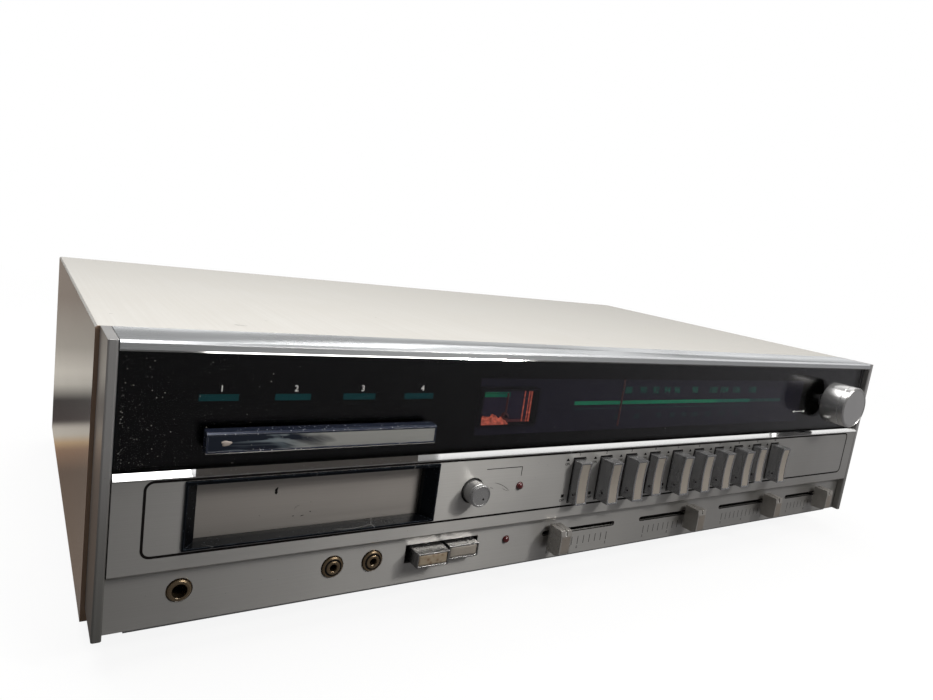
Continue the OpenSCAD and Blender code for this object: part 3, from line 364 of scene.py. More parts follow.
def boardShare(t, place, wide):
    # one on the board's bare front edge: everything nearer the front than a wandering line
    v = boardEdge
    line = maths(t, "MULTIPLY_ADD", noise(t, place, v["scale"], 3.0)["Fac"], v["bend"], axisOf(t, place, "Y"))
    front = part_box("cabinet_sleeve")[0].y + wide * mm
    return mapRange(t, line, (front + v["soft"][0], front + v["soft"][1]))


def upward(t):
    # how far a face looks up: the height of its normal, -1 to 1
    return axisOf(t, node(t, "ShaderNodeNewGeometry").outputs["Normal"], "Z")


# what a look has where it says nothing else; a grain of one number is even in all directions
plainLook = {
    "grain": (60, 900, 900), "fineShare": 0.5, "fine": (0.3, 0.7), "broad": (0.35, 0.65),
    "density": 0.25, "speckScale": 260.0, "dirt": 0.5, "dirtColor": (0.05, 0.045, 0.04), "dirtRough": 0.3,
    "scratch": 0.0, "scratchColor": (0.8, 0.79, 0.77), "round": 0.0, "edge": 0.0,
    "edgeColor": (0.75, 0.74, 0.72), "under": None, "underZ": (-0.4, -0.8), "paintedShadeHeights": None, "board": None,
    "rough": (0.35, 0.5), "metal": 0.0, "specular": 0.5, "tint": (1, 1, 1), "sideCoat": None,
    "coatZ": (0.5, 0.9), "stretch": 0.0, "stretchTurn": 0.25, "coat": 0.0, "coatRough": 0.15, "glow": 0.0,
    "bump": 0.25, "deep": 0.00002,
}


def makeFinish(name, look):
    # two colours mixed by grain, specks and rubbed edges on top, roughness and bump from the same masks
    v = {**plainLook, **look}
    grain = v["grain"] if isinstance(v["grain"], tuple) else (v["grain"],) * 3
    t, shader, place = newFinish(name)
    lines = node(t, "ShaderNodeGroup", {"Vector": place, "Scale": grain}, node_tree=grainGroup)
    links = {"Vector": place, "Density": v["density"], "Scale": v["speckScale"]}
    specks = node(t, "ShaderNodeGroup", links, node_tree=speckGroup)
    fine = mapRange(t, lines.outputs["Fine"], v["fine"], (0.0, v["fineShare"]))
    broad = mapRange(t, lines.outputs["Broad"], v["broad"], (0.0, 1 - v["fineShare"]))
    both = maths(t, "ADD", fine, broad)
    shade = blendColors(t, both, v["color"], v["darker"])
    dirt = maths(t, "MULTIPLY", specks.outputs["Specks"], v["dirt"])
    shade = blendColors(t, dirt, shade, v["dirtColor"])
    scratch = maths(t, "MULTIPLY", specks.outputs["Scratches"], v["scratch"])
    shade = blendColors(t, scratch, shade, v["scratchColor"])
    bump = {"Strength": v["bump"], "Distance": v["deep"], "Height": lines.outputs["Fine"]}
    if v["round"]:
        rub = node(t, "ShaderNodeGroup", {"Vector": place, "Radius": v["round"]}, node_tree=edgeGroup)
        worn = maths(t, "MULTIPLY", rub.outputs["Edge"], v["edge"])
        shade = blendColors(t, worn, shade, v["edgeColor"])
        bump["Normal"] = rub.outputs["Normal"]
    if v["under"]:
        # painted highlight: faces that look down have a colour of their own
        shade = blendColors(t, mapRange(t, upward(t), v["underZ"]), shade, v["under"])
    if v["paintedShadeHeights"]:
        # painted shade: the colour darkens towards the bottom
        shade = blendColors(t, 1.0, shade, toneByHeight(t, place, v["paintedShadeHeights"]), "MULTIPLY")
    if v["board"]:
        wide, tone = v["board"]
        shade = blendColors(t, boardShare(t, place, wide), shade, tone)
    t.links.new(shade, shader["Base Color"])
    rough = mapRange(t, both, target=v["rough"])
    rough = maths(t, "ADD", rough, maths(t, "MULTIPLY", dirt, v["dirtRough"]))
    t.links.new(rough, shader["Roughness"])
    shader["Metallic"].default_value = v["metal"]
    shader["Specular IOR Level"].default_value = v["specular"]
    shader["Specular Tint"].default_value = (*v["tint"], 1)
    if v["sideCoat"]:
        # a gloss coat that fades out where the normal looks up
        t.links.new(mapRange(t, upward(t), v["coatZ"], (1.0, 0.0)), shader["Coat Weight"])
        shader["Coat Roughness"].default_value, shader["Coat IOR"].default_value = v["sideCoat"]
    if v["stretch"]:
        shader["Anisotropic"].default_value = v["stretch"]
        shader["Anisotropic Rotation"].default_value = v["stretchTurn"]
    if v["coat"]:
        shader["Coat Weight"].default_value = v["coat"]
        shader["Coat Roughness"].default_value = v["coatRough"]
    if v["glow"]:
        # painted light: the colour glows as well, though the part is no lamp
        t.links.new(shade, shader["Emission Color"])
        shader["Emission Strength"].default_value = v["glow"]
    t.links.new(node(t, "ShaderNodeBump", bump).outputs[0], shader["Normal"])


# painted light: a base for prints and films whose glow stands in for the dial lamps behind them
paintedGlowBase = {"rough": (0.5, 0.6), "specular": 0.0, "bump": 0.0}  # prints and films that shine by themselves

looks = {
    "cabinetFoil": {"color": (0.66, 0.645, 0.61), "darker": (0.60, 0.58, 0.54), "grain": (700, 7, 700),
        "fineShare": 0.6, "rough": (0.10, 0.17), "specular": 0.02, "sideCoat": (0.13, 1.33), "edge": 0.7,
        "edgeColor": (0.33, 0.24, 0.17), "round": 0.0006, "dirt": 0.5, "density": 0.10, "bump": 0.12,
        "board": (1.15, (0.34, 0.23, 0.165))},
    "sheetSteel": {"color": (0.42, 0.43, 0.43), "darker": (0.30, 0.31, 0.31), "metal": 0.9,
        "rough": (0.35, 0.6), "grain": 90, "scratch": 0.3},
    "blackSheet": {"color": (0.018, 0.018, 0.019), "darker": (0.030, 0.030, 0.031), "rough": (0.5, 0.7),
        "grain": 1500, "bump": 0.5},
    "footRubber": {"color": (0.018, 0.018, 0.018), "darker": (0.035, 0.034, 0.032), "rough": (0.7, 0.85),
        "grain": 800, "bump": 0.5, "dirtColor": (0.2, 0.19, 0.17)},
    "polishedTrim": {"color": (0.63, 0.63, 0.625), "darker": (0.61, 0.61, 0.605), "metal": 1.0,
        "rough": (0.05, 0.05), "grain": (6, 900, 900), "dirt": 0.0, "density": 0.0, "bump": 0.0},
    "brushedAluminium": {"color": (0.67, 0.685, 0.70), "darker": (0.58, 0.595, 0.61), "metal": 0.7,
        "rough": (0.24, 0.36), "grain": (8, 1600, 1600), "stretch": 0.8, "edge": 0.5, "round": 0.0004,
        "dirt": 0.35, "density": 0.15, "scratch": 0.3},
    "capAluminium": {"color": (0.60, 0.59, 0.58), "darker": (0.52, 0.51, 0.50), "metal": 0.7,
        "rough": (0.28, 0.44), "grain": (1600, 1600, 9), "edge": 0.5, "round": 0.0004, "dirt": 0.35,
        "density": 0.15, "scratch": 0.3,
        # painted shade: the caps darker towards the bottom, full colour at the top
        "paintedShadeHeights": [(14, 0.46, 0.46, 0.44), (60, 0.66, 0.66, 0.65), (95, 0.95, 0.95, 0.95),
            (137, 1.0, 1.0, 1.0)]},
    "panelAluminium": {"color": (0.58, 0.57, 0.55), "darker": (0.50, 0.49, 0.47), "metal": 0.85,
        "rough": (0.34, 0.46), "grain": (7, 2200, 2200), "fineShare": 0.45, "stretch": 0.85,
        "round": 0.0003, "dirt": 0.4, "density": 0.12, "speckScale": 180.0, "scratch": 0.12, "bump": 0.35},
    "spunAluminium": {"color": (0.60, 0.595, 0.59), "darker": (0.50, 0.495, 0.49), "metal": 0.8,
        "rough": (0.22, 0.28), "grain": (14, 900, 14), "edge": 0.2, "round": 0.0003, "dirt": 0.1,
        "density": 0.12, "bump": 0.05},
    "buttonChrome": {"color": (0.36, 0.355, 0.35), "darker": (0.27, 0.265, 0.26), "metal": 0.9,
        "rough": (0.22, 0.34), "grain": 300, "edge": 0.12, "edgeColor": (0.50, 0.50, 0.49), "round": 0.0006,
        "dirt": 0.3, "density": 0.16, "speckScale": 500.0, "scratch": 0.2, "bump": 0.0},
    "barBevel": {"color": (0.016, 0.021, 0.042), "darker": (0.028, 0.036, 0.062), "metal": 0.3,
        "rough": (0.12, 0.22), "grain": (60, 500, 500), "edge": 0.55, "edgeColor": (0.55, 0.56, 0.56),
        "round": 0.0003, "dirt": 0.9, "dirtColor": (0.62, 0.64, 0.66), "density": 0.34, "speckScale": 520.0,
        # under is a painted highlight on the bar's faces that look down
        "bump": 0.1, "under": (0.62, 0.58, 0.55)},
    "keyMetal": {"color": (0.43, 0.43, 0.44), "darker": (0.33, 0.33, 0.335), "metal": 0.75,
        "rough": (0.16, 0.30), "grain": (200, 200, 60), "edge": 0.7, "edgeColor": (0.66, 0.66, 0.67),
        "round": 0.0004, "dirt": 0.5, "dirtColor": (0.10, 0.075, 0.055), "density": 0.26,
        "speckScale": 500.0, "scratch": 0.15, "bump": 0.1},
    "sliderMetal": {"color": (0.47, 0.45, 0.425), "darker": (0.38, 0.36, 0.335), "metal": 0.55,
        "rough": (0.24, 0.38), "grain": 200, "edge": 0.6, "round": 0.0004, "dirt": 0.5, "density": 0.3,
        "speckScale": 420.0, "scratch": 0.2},
    # painted light: the dial plate glows faintly, in place of the dial lamps behind it
    "darkPlate": {**paintedGlowBase, "color": (0.0085, 0.0075, 0.0145), "darker": (0.011, 0.0098, 0.018),
        "glow": 0.4},
    "creamPlastic": {"color": (0.62, 0.58, 0.49), "darker": (0.52, 0.48, 0.40), "rough": (0.4, 0.55),
        "grain": 200},
    "meterCasing": {"color": (0.009, 0.008, 0.012), "darker": (0.013, 0.011, 0.016), "rough": (0.6, 0.7),
        "specular": 0.0},
    "blackPlastic": {"color": (0.0030, 0.0032, 0.0040), "darker": (0.0050, 0.0053, 0.0065),
        "rough": (0.20, 0.34), "grain": 120, "specular": 0.12, "tint": (0.6, 0.8, 1.0), "edge": 0.30,
        "edgeColor": (0.10, 0.125, 0.17), "round": 0.0005, "dirt": 0.7, "dirtColor": (0.16, 0.19, 0.22),
        "density": 0.26, "speckScale": 520.0, "scratch": 0.2},
    "innerPlastic": {"color": (0.020, 0.019, 0.018), "darker": (0.030, 0.029, 0.027), "rough": (0.5, 0.65),
        "grain": 300},
    "flapSilver": {"color": (0.50, 0.465, 0.43), "darker": (0.44, 0.41, 0.38), "metal": 0.75,
        "rough": (0.34, 0.46), "grain": (9, 900, 1500), "stretch": 0.7, "dirt": 0.5, "density": 0.12,
        "speckScale": 120.0, "round": 0.0004},
    "redLens": {"color": (0.15, 0.003, 0.005), "darker": (0.055, 0.001, 0.002), "rough": (0.10, 0.3),
        "coat": 1.0, "coatRough": 0.03, "grain": 900, "fineShare": 0.9, "bump": 0.8, "deep": 0.0002},
    "bulbGlass": {"color": (0.55, 0.53, 0.47), "darker": (0.45, 0.43, 0.38), "rough": (0.1, 0.2),
        "coat": 0.5},
    "cordBraid": {"color": (0.42, 0.33, 0.2), "darker": (0.28, 0.22, 0.13), "rough": (0.7, 0.8),
        "grain": 2500, "bump": 0.8},
    "beltRubber": {"color": (0.02, 0.02, 0.02), "darker": (0.03, 0.03, 0.03), "rough": (0.6, 0.75),
        "grain": 700},
    "turnedBrass": {"color": (0.55, 0.40, 0.16), "darker": (0.42, 0.29, 0.11), "metal": 1.0,
        "rough": (0.22, 0.36), "grain": (700, 700, 20)},
    # painted shade: the boards behind the keys and sliders are near black, so the gaps round them look as
    # dark as shade
    "switchBoard": {"color": (0.0065, 0.005, 0.004), "darker": (0.010, 0.008, 0.0065), "specular": 0.15,
        "rough": (0.6, 0.8), "grain": 500},
    "wornNickel": {"color": (0.40, 0.30, 0.19), "darker": (0.24, 0.17, 0.10), "metal": 0.95,
        "rough": (0.2, 0.4), "grain": 500, "edge": 0.6, "edgeColor": (0.62, 0.52, 0.40), "round": 0.0003,
        "dirt": 0.5, "density": 0.5, "speckScale": 900.0},
    "laminations": {"color": (0.10, 0.09, 0.08), "darker": (0.05, 0.045, 0.04), "metal": 0.6,
        "rough": (0.4, 0.6), "grain": (20, 1800, 20), "bump": 0.6},
    "boardGreen": {"color": (0.04, 0.10, 0.035), "darker": (0.03, 0.07, 0.025), "rough": (0.35, 0.5),
        "grain": 200, "coat": 0.2},
    # painted light: the pointer and the meter's needle glow red, in place of the lamps' light
    "pointerPaint": {"color": (0.055, 0.010, 0.009), "darker": (0.035, 0.006, 0.006), "rough": (0.4, 0.5),
        "glow": 0.4},
    "blackPrint": {"color": (0.004, 0.003, 0.003), "darker": (0.008, 0.006, 0.006), "specular": 0.15,
        "rough": (0.6, 0.8), "grain": 900, "bump": 0.1},
    "greyPrint": {"color": (0.020, 0.019, 0.018), "darker": (0.042, 0.040, 0.037), "rough": (0.5, 0.6),
        "grain": 900, "bump": 0.1},
    # painted light: the white print glows a little
    "whitePrint": {"color": (0.80, 0.80, 0.78), "darker": (0.68, 0.68, 0.66), "rough": (0.5, 0.6),
        "grain": 900, "bump": 0.1, "glow": 0.16},
    # painted light: the teal films glow, in place of the dial lamps behind them
    "tealFilm": {"color": (0.001, 0.027, 0.028), "darker": (0.001, 0.021, 0.023), "rough": (0.4, 0.5),
        "specular": 0.0, "bump": 0.0, "glow": 0.85},
    "glassMask": {"color": (0.0012, 0.0011, 0.0011), "darker": (0.0020, 0.0018, 0.0018),
        "rough": (0.6, 0.7), "specular": 0.0, "bump": 0.0},
    # painted light: the dial's green prints glow, in place of the dial lamps behind them
    "dialGreen": {**paintedGlowBase, "color": (0.004, 0.105, 0.050), "darker": (0.003, 0.075, 0.036), "glow": 1.0},
    "dialDim": {**paintedGlowBase, "color": (0.004, 0.080, 0.050), "darker": (0.003, 0.056, 0.037), "glow": 0.85},
    "dialFaint": {**paintedGlowBase, "color": (0.006, 0.030, 0.026), "darker": (0.006, 0.022, 0.021), "glow": 0.8},
    # painted light: the meter's reflector, lit wall edges and glimmer glow in place of its lamp
    "meterOrange": {"color": (0.52, 0.100, 0.050), "darker": (0.030, 0.004, 0.005), "rough": (0.5, 0.7),
        "grain": (420, 420, 700), "fineShare": 0.85, "glow": 1.0, "bump": 0.7, "deep": 0.0006},
    "meterGlimmer": {"color": (0.075, 0.014, 0.012), "darker": (0.020, 0.005, 0.008), "rough": (0.5, 0.7),
        "grain": (300, 300, 1500), "glow": 0.9, "bump": 0.0},
    # painted light: the meter's card and band glow in place of its lamp
    "meterCard": {**paintedGlowBase, "color": (0.013, 0.0105, 0.020), "darker": (0.018, 0.014, 0.026), "glow": 0.5},
    "meterGreen": {**paintedGlowBase, "color": (0.008, 0.115, 0.052), "darker": (0.004, 0.060, 0.030), "glow": 1.0},
    "insertCream": {"color": (0.41, 0.37, 0.325), "darker": (0.34, 0.305, 0.265), "rough": (0.35, 0.5),
        "grain": (300, 120, 60), "dirt": 0.6, "dirtColor": (0.24, 0.15, 0.08), "density": 0.3,
        "speckScale": 420.0},
    "insertBrown": {"color": (0.34, 0.30, 0.265), "darker": (0.26, 0.23, 0.20), "metal": 0.3,
        "rough": (0.3, 0.45), "grain": 200, "dirt": 0.5, "density": 0.3},
    "insertRust": {"color": (0.50, 0.43, 0.33), "darker": (0.30, 0.22, 0.14), "rough": (0.3, 0.55),
        "grain": 260, "dirt": 0.8, "dirtColor": (0.14, 0.055, 0.02), "density": 0.7, "speckScale": 380.0,
        "bump": 0.6, "deep": 0.0001},
    "dabPaint": {"color": (0.62, 0.55, 0.50), "darker": (0.45, 0.38, 0.34), "rough": (0.3, 0.5),
        "grain": 500, "bump": 0.6, "deep": 0.0001},
    "scratchMark": {"color": (0.090, 0.084, 0.080), "darker": (0.15, 0.14, 0.135), "rough": (0.5, 0.7),
        "grain": 1500, "bump": 0.1},
    "dustFlakes": {"color": (0.55, 0.54, 0.50), "darker": (0.30, 0.29, 0.27), "rough": (0.7, 0.9),
        "grain": 900},
    "screwSteel": {"color": (0.45, 0.44, 0.42), "darker": (0.32, 0.31, 0.30), "metal": 0.95,
        "rough": (0.25, 0.4), "grain": 600, "edge": 0.4, "round": 0.0002},
}

for name, look in looks.items():
    makeFinish(name, look)

glass = {"scale": 26.0, "smear": (0.4, 0.75), "rough": (0.02, 0.10), "clear": (0.86, 0.85, 0.88),
    "smeared": (0.80, 0.79, 0.83), "bending": 1.34}


def makeGlass():
    # clear glass, rougher where the noise is high; the black print is a piece of its own behind it
    v = glass
    t, shader, place = newFinish("dialGlass")
    smear = noise(t, place, v["scale"], 5.0, bend=0.6)["Fac"]
    t.links.new(blendColors(t, smear, v["clear"], v["smeared"]), shader["Base Color"])
    t.links.new(mapRange(t, smear, v["smear"], v["rough"]), shader["Roughness"])
    shader["Transmission Weight"].default_value = 1.0
    shader["IOR"].default_value = v["bending"]


makeGlass()

# the selector bar's chrome face: its colour is a painted reflection, with specks of wear
barSpecksAndPaintedReflection = {
    "squash": (26, 60, 130), "wander": 0.05,
    "splitX": (-0.178, -0.160),  # metres: dark to the left of it, grey to the right
    "clouds": (0.47, 0.60),
    "dark": (0.025, 0.032, 0.050), "blue": (0.30, 0.36, 0.40), "grey": (0.56, 0.56, 0.53),
    "density": 0.22, "speckScale": 420.0, "dirt": 0.5, "dirtColor": (0.75, 0.74, 0.70),
    "rough": (0.24, 0.40), "metal": 0.55, "bump": 0.3, "deep": 0.0004,
}


def makeBarMirror():
    # chrome with a painted reflection: grey towards the right, dark and clouded with blue towards the left,
    # split along a wandering line; pale specks of wear on top
    v = barSpecksAndPaintedReflection
    t, shader, place = newFinish("barSpecksAndPaintedReflection")
    cloud = noise(t, vectorMaths(t, "MULTIPLY", place, v["squash"]), 1.0, 3.0, bend=1.4)["Fac"]
    edge = maths(t, "MULTIPLY_ADD", cloud, v["wander"], axisOf(t, place, "X"))
    left = blendColors(t, mapRange(t, cloud, v["clouds"]), v["dark"], v["blue"])
    shade = blendColors(t, mapRange(t, edge, v["splitX"]), left, v["grey"])
    links = {"Vector": place, "Density": v["density"], "Scale": v["speckScale"]}
    specks = node(t, "ShaderNodeGroup", links, node_tree=speckGroup)
    dirt = maths(t, "MULTIPLY", specks.outputs["Specks"], v["dirt"])
    t.links.new(blendColors(t, dirt, shade, v["dirtColor"]), shader["Base Color"])
    t.links.new(mapRange(t, cloud, target=v["rough"]), shader["Roughness"])
    shader["Metallic"].default_value = v["metal"]
    bump = node(t, "ShaderNodeBump", {"Strength": v["bump"], "Distance": v["deep"], "Height": cloud})
    t.links.new(bump.outputs[0], shader["Normal"])


makeBarMirror()
print("finishes:", len(finishes))

painted = {
    "cabinetFoil": "cabinet_sleeve",
    "sheetSteel": "base_chassis front_frame pointer_rail tuning_spindle tuning_capacitor deck_plate "
        "drive_motor",
    "blackSheet": "rear_panel",
    "footRubber": "feet",
    "capAluminium": "end_cap_left end_cap_right",
    "brushedAluminium": "top_trim",
    "polishedTrim": "ledge_trim",
    "panelAluminium": "control_panel",
    "dialGlass": "dial_glass",
    "darkPlate": "dial_plate",
    "pointerPaint": "dial_pointer meter_needle",
    "spunAluminium": "tuning_knob record_button",
    "creamPlastic": "tuning_drum cord_pulley_left cord_pulley_middle cord_pulley_right",
    "cordBraid": "dial_cord",
    "meterCasing": "tuning_meter",
    "bulbGlass": "pilot_lamps",
    "barBevel": "selector_bar",
    "switchBoard": "function_switches switch_bank slide_controls",
    "blackPlastic": "door_bezel",
    "flapSilver": "door_flap",
    "innerPlastic": "cartridge_tray rear_sockets",
    "turnedBrass": "flywheel motor_pulley",
    "beltRubber": "drive_belt",
    "wornNickel": "head_carriage front_jacks",
    "buttonChrome": "fast_forward_button mode_button",
    "redLens": "indicator_lamps",
    "laminations": "power_transformer",
    "boardGreen": "circuit_boards",
    "keyMetal": " ".join(f"key_{i}" for i in range(1, 11)),
    "sliderMetal": " ".join(f"slider_knob_{i}" for i in range(1, 5)),
}
lookOf = {name: look for look, names in painted.items() for name in names.split()}
for name, item in nodes.items():
    item.data.materials.clear()
    item.data.materials.append(finishes[lookOf[name]])
print("solids painted:", len(nodes))


def toFrame(p):
    # points in millimetres from the unit's middle, the front plane and the lower edge, as metres
    return np.asarray(p, float) * mm + np.array([0, frontPlane, bottomEdge])


def inMm(p):
    # the way back: a point of the frame in those millimetres
    return np.array([p.x / mm, (p.y - frontPlane) / mm, (p.z - bottomEdge) / mm])


def boxOf(name):
    # the low and the high corner of a node's box
    low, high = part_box(name)
    return inMm(low), inMm(high)


def centre(name):
    # half of the low corner plus the high one
    low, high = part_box(name)
    return inMm((low + high) / 2)


def addPiece(name, points, faces, look, body, slot=None, smooth=False, weld=False):
    # one mesh from points and faces, in its look, riding its body
    mesh = bpy.data.meshes.new(name)
    mesh.from_pydata(toFrame(points).tolist(), [], [list(map(int, f)) for f in faces])
    if smooth:
        mesh.polygons.foreach_set("use_smooth", [True] * len(mesh.polygons))
    if weld:
        work = bmesh.new()
        work.from_mesh(mesh)
        bmesh.ops.remove_doubles(work, verts=work.verts, dist=1e-6)
        work.to_mesh(mesh)
        work.free()
    mesh.materials.append(finishes[look])
    mesh.update()
    item = bpy.data.objects.new(name, mesh)
    bpy.context.collection.objects.link(item)
    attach(item, body)


def gridFaces(rows, columns, closed=False, start=0):
    # quads between neighbours of a rows by columns grid of points; closed joins the last column to the first
    r, c = np.arange(rows - 1), np.arange(columns if closed else columns - 1)
    r, c = (a.ravel() for a in np.meshgrid(r, c, indexing="ij"))
    here, over, c1 = r * columns, (r + 1) * columns, (c + 1) % columns
    return start + np.stack([here + c, here + c1, over + c1, over + c], 1)


def gridsPiece(name, grids, look, body, slot=None, closed=False, **more):
    # several (rows, columns, 3) grids of points as one piece
    points, faces, start = [], [], 0
    for g in grids:
        faces.append(gridFaces(g.shape[0], g.shape[1], closed, start))
        points.append(g.reshape(-1, 3))
        start += len(points[-1])
    addPiece(name, np.concatenate(points), np.concatenate(faces), look, body, slot, **more)


def slabPiece(name, g, depth, look, body, slot, **more):
    # a front facing grid (rows go up, columns go right), its copy depth further back and the wall round both
    rows, columns = g.shape[:2]
    n = rows * columns
    k = np.arange(n).reshape(rows, columns)
    loop = np.concatenate([k[0, :-1], k[:-1, -1], k[-1, :0:-1], k[:0:-1, 0]])
    after = np.roll(loop, -1)
    wall = np.stack([loop, loop + n, after + n, after], 1)
    points = np.concatenate([g.reshape(-1, 3), (g + np.array([0, depth, 0])).reshape(-1, 3)])
    faces = np.concatenate([gridFaces(rows, columns), gridFaces(rows, columns, start=n)[:, ::-1], wall])
    addPiece(name, points, faces, look, body, slot, **more)


def lettersPiece(name, entries, y, look, body, weight=0.0):
    # each entry is (text, size, x, z), centred; the font's outline is filled, then stood up on x and z
    points, faces, start = [], [], 0
    for text, size, x, z in entries:
        curve = bpy.data.curves.new("letters", "FONT")
        curve.body = text
        curve.size = size
        curve.align_x = "CENTER"
        curve.align_y = "CENTER"
        curve.resolution_u = 3
        curve.offset = weight * size
        item = bpy.data.objects.new("letters", curve)
        bpy.context.collection.objects.link(item)
        mesh = bpy.data.meshes.new_from_object(item.evaluated_get(bpy.context.evaluated_depsgraph_get()))
        co = np.zeros(len(mesh.vertices) * 3)
        mesh.vertices.foreach_get("co", co)
        co = co.reshape(-1, 3)
        points.append(np.stack([co[:, 0] + x, np.full(len(co), y), co[:, 1] + z], 1))
        faces += [[v + start for v in f.vertices] for f in mesh.polygons]
        start += len(co)
        bpy.data.objects.remove(item)
        bpy.data.curves.remove(curve)
        bpy.data.meshes.remove(mesh)
    addPiece(name, np.concatenate(points), faces, look, body)


def quad(y, *corners):
    # a flat face from (x, z) corners: low left, low right, high left, high right
    return np.array([(x, y, z) for x, z in corners], float).reshape(2, 2, 3)


def strip(x0, x1, z0, z1, y):
    # a flat rectangle facing the front
    return quad(y, (x0, z0), (x1, z0), (x0, z1), (x1, z1))


def roundedLoop(x0, x1, z0, z1, r, steps=8):
    # closed outline of a rectangle with quarter circles at its corners
    turn = np.linspace(0, np.pi / 2, steps)
    corners = [(x1 - r, z1 - r, 0), (x0 + r, z1 - r, 1), (x0 + r, z0 + r, 2), (x1 - r, z0 + r, 3)]
    arcs = [(cx, cz, turn + k * np.pi / 2) for cx, cz, k in corners]
    return np.concatenate([np.stack([cx + r * np.cos(a), cz + r * np.sin(a)], 1) for cx, cz, a in arcs])


def between(loops, y):
    # the flat strip between an outer and an inner loop
    return np.stack([np.insert(loop, 1, y, 1) for loop in loops], 0)


def ringGrid(x, z, circles, steps):
    # circles of (radius, y) round a place on the front: x plus radius times cosine, z plus radius times sine
    a = np.linspace(0, 2 * np.pi, steps, endpoint=False)
    rows = [(x + r * np.cos(a), np.full_like(a, y), z + r * np.sin(a)) for r, y in circles]
    return np.stack([np.stack(row, 1) for row in rows])


panelPrint = {"left": -257.1, "right": 257.7, "low": 33.0, "high": 66.1, "corner": 4.0, "line": 1.1,
    "lift": 0.03, "least": 0.05}
recordBracket = {"left": -92.9, "lampX": -69.6, "low": 54.4, "high": 59.8, "line": 0.4}
lowerPanel = {"setBack": 4.6, "sliderX": (-14.5, 65.5, 145.5, 225.5), "slotZ": 15.5, "halfLong": 28.5,
    "halfHigh": 1.1}


def makePanelPrint():
    # a frame of even width: the strip between a rounded rectangle and one smaller by the line all round
    v = panelPrint
    loops = []
    for e in (0, v["line"]):
        corner = max(v["corner"] - e, v["least"])
        loops.append(roundedLoop(v["left"] + e, v["right"] - e, v["low"] + e, v["high"] - e, corner))
    gridsPiece("panelOutline", [between(loops, -v["lift"])], "blackPrint", "chassis", closed=True)
    b = recordBracket
    half = b["line"] / 2
    right = b["lampX"] + half
    bars = [strip(b["left"], right, b["high"] - b["line"], b["high"], -v["lift"]),
        strip(b["lampX"] - half, right, b["low"], b["high"], -v["lift"])]
    gridsPiece("recordBracket", bars, "blackPrint", "chassis")


makePanelPrint()

keyPrint = {
    "markX": -9.0, "onZ": 58.9, "offZ": 37.2, "size": 2.1, "weight": 0.03, "numberX": -0.4, "numberZ": 64.2,
    "mark": 1.35, "triangleZ": 60.7, "triangleHigh": 1.5, "tip": 0.3, "squareZ": 39.9, "square": (0.75, 0.7),
}


def makeKeyPrint():
    # at each key ON over a triangle, OFF under a square, and its number above
    v = keyPrint
    y = -panelPrint["lift"]
    letters, marks = [], []
    wide, high = (share * v["mark"] for share in v["square"])
    for i in range(1, 11):
        x = centre(f"key_{i}")[0]
        a, z = x + v["markX"], v["triangleZ"]
        letters += [("ON", v["size"], a, v["onZ"]), ("OFF", v["size"], a, v["offZ"])]
        letters.append((str(i), v["size"], x + v["numberX"], v["numberZ"]))
        foot, tip, top = v["mark"], v["tip"], z + v["triangleHigh"]
        marks.append(quad(y, (a - foot, z), (a + foot, z), (a - tip, top), (a + tip, top)))
        marks.append(strip(a - wide, a + wide, v["squareZ"] - high, v["squareZ"] + high, y))
    lettersPiece("keyLetters", letters, y, "greyPrint", "chassis", v["weight"])
    gridsPiece("keyMarks", marks, "blackPrint", "chassis")


makeKeyPrint()

sliderPrint = {"ticks": 5, "step": 4.7, "low": 5.4, "high": 10.5, "line": 0.45, "numberZ": 3.4, "size": 2.4,
    "weight": 0.012}


def makeSliderPrint():
    # eleven ticks in even steps under each slider, 0 under the middle one and 5 under both ends
    v = sliderPrint
    y = lowerPanel["setBack"] - panelPrint["lift"]
    ticks, letters = [], []
    for x in lowerPanel["sliderX"]:
        for s in range(-v["ticks"], v["ticks"] + 1):
            tick = x + s * v["step"]
            ticks.append(strip(tick - v["line"] / 2, tick + v["line"] / 2, v["low"], v["high"], y))
        end = v["ticks"] * v["step"]
        for text, off in (("0", 0), ("5", -end), ("5", end)):
            letters.append((text, v["size"], x + off, v["numberZ"]))
    gridsPiece("sliderTicks", ticks, "greyPrint", "chassis")
    lettersPiece("sliderNumbers", letters, y, "greyPrint", "chassis", v["weight"])


makeSliderPrint()

slotShadeRing = {"over": 0.42, "inside": -0.15}
keySlotShade = {"gap": 0.25, "gapZ": 0.5, "side": 0.55, "underSide": 0.3, "under": 0.35, "over": 0.8,
    "overRight": 0.4}


def makeSlotRims():
    # painted shade round each slider's slot, the strip between two rounded loops, and on three sides of
    # each key's slot: dark strips where the openings fall into shade
    p = lowerPanel
    shadeRings = []
    for x in p["sliderX"]:
        loops = []
        for e in slotShadeRing.values():
            long, high = p["halfLong"] + e, p["halfHigh"] + e
            loops.append(roundedLoop(x - long, x + long, p["slotZ"] - high, p["slotZ"] + high, high))
        shadeRings.append(between(loops, p["setBack"] - panelPrint["lift"]))
    gridsPiece("slotShadeRings", shadeRings, "blackPrint", "chassis", closed=True)
    v = keySlotShade
    y = -panelPrint["lift"]
    edges = []
    for i in range(1, 11):
        low, high = boxOf(f"key_{i}")
        x, z0, z1 = low[0] - v["gap"], low[2] - v["gapZ"], high[2] + v["gapZ"]
        edges.append(strip(x - v["side"], x, z0 - v["underSide"], z1, y))
        edges.append(strip(x, high[0] + v["gap"], z0 - v["under"], z0, y))
        edges.append(strip(x - v["side"], high[0] + v["overRight"], z1, z1 + v["over"], y))
    gridsPiece("keySlotEdges", edges, "blackPrint", "chassis")


makeSlotRims()
print("panel print")

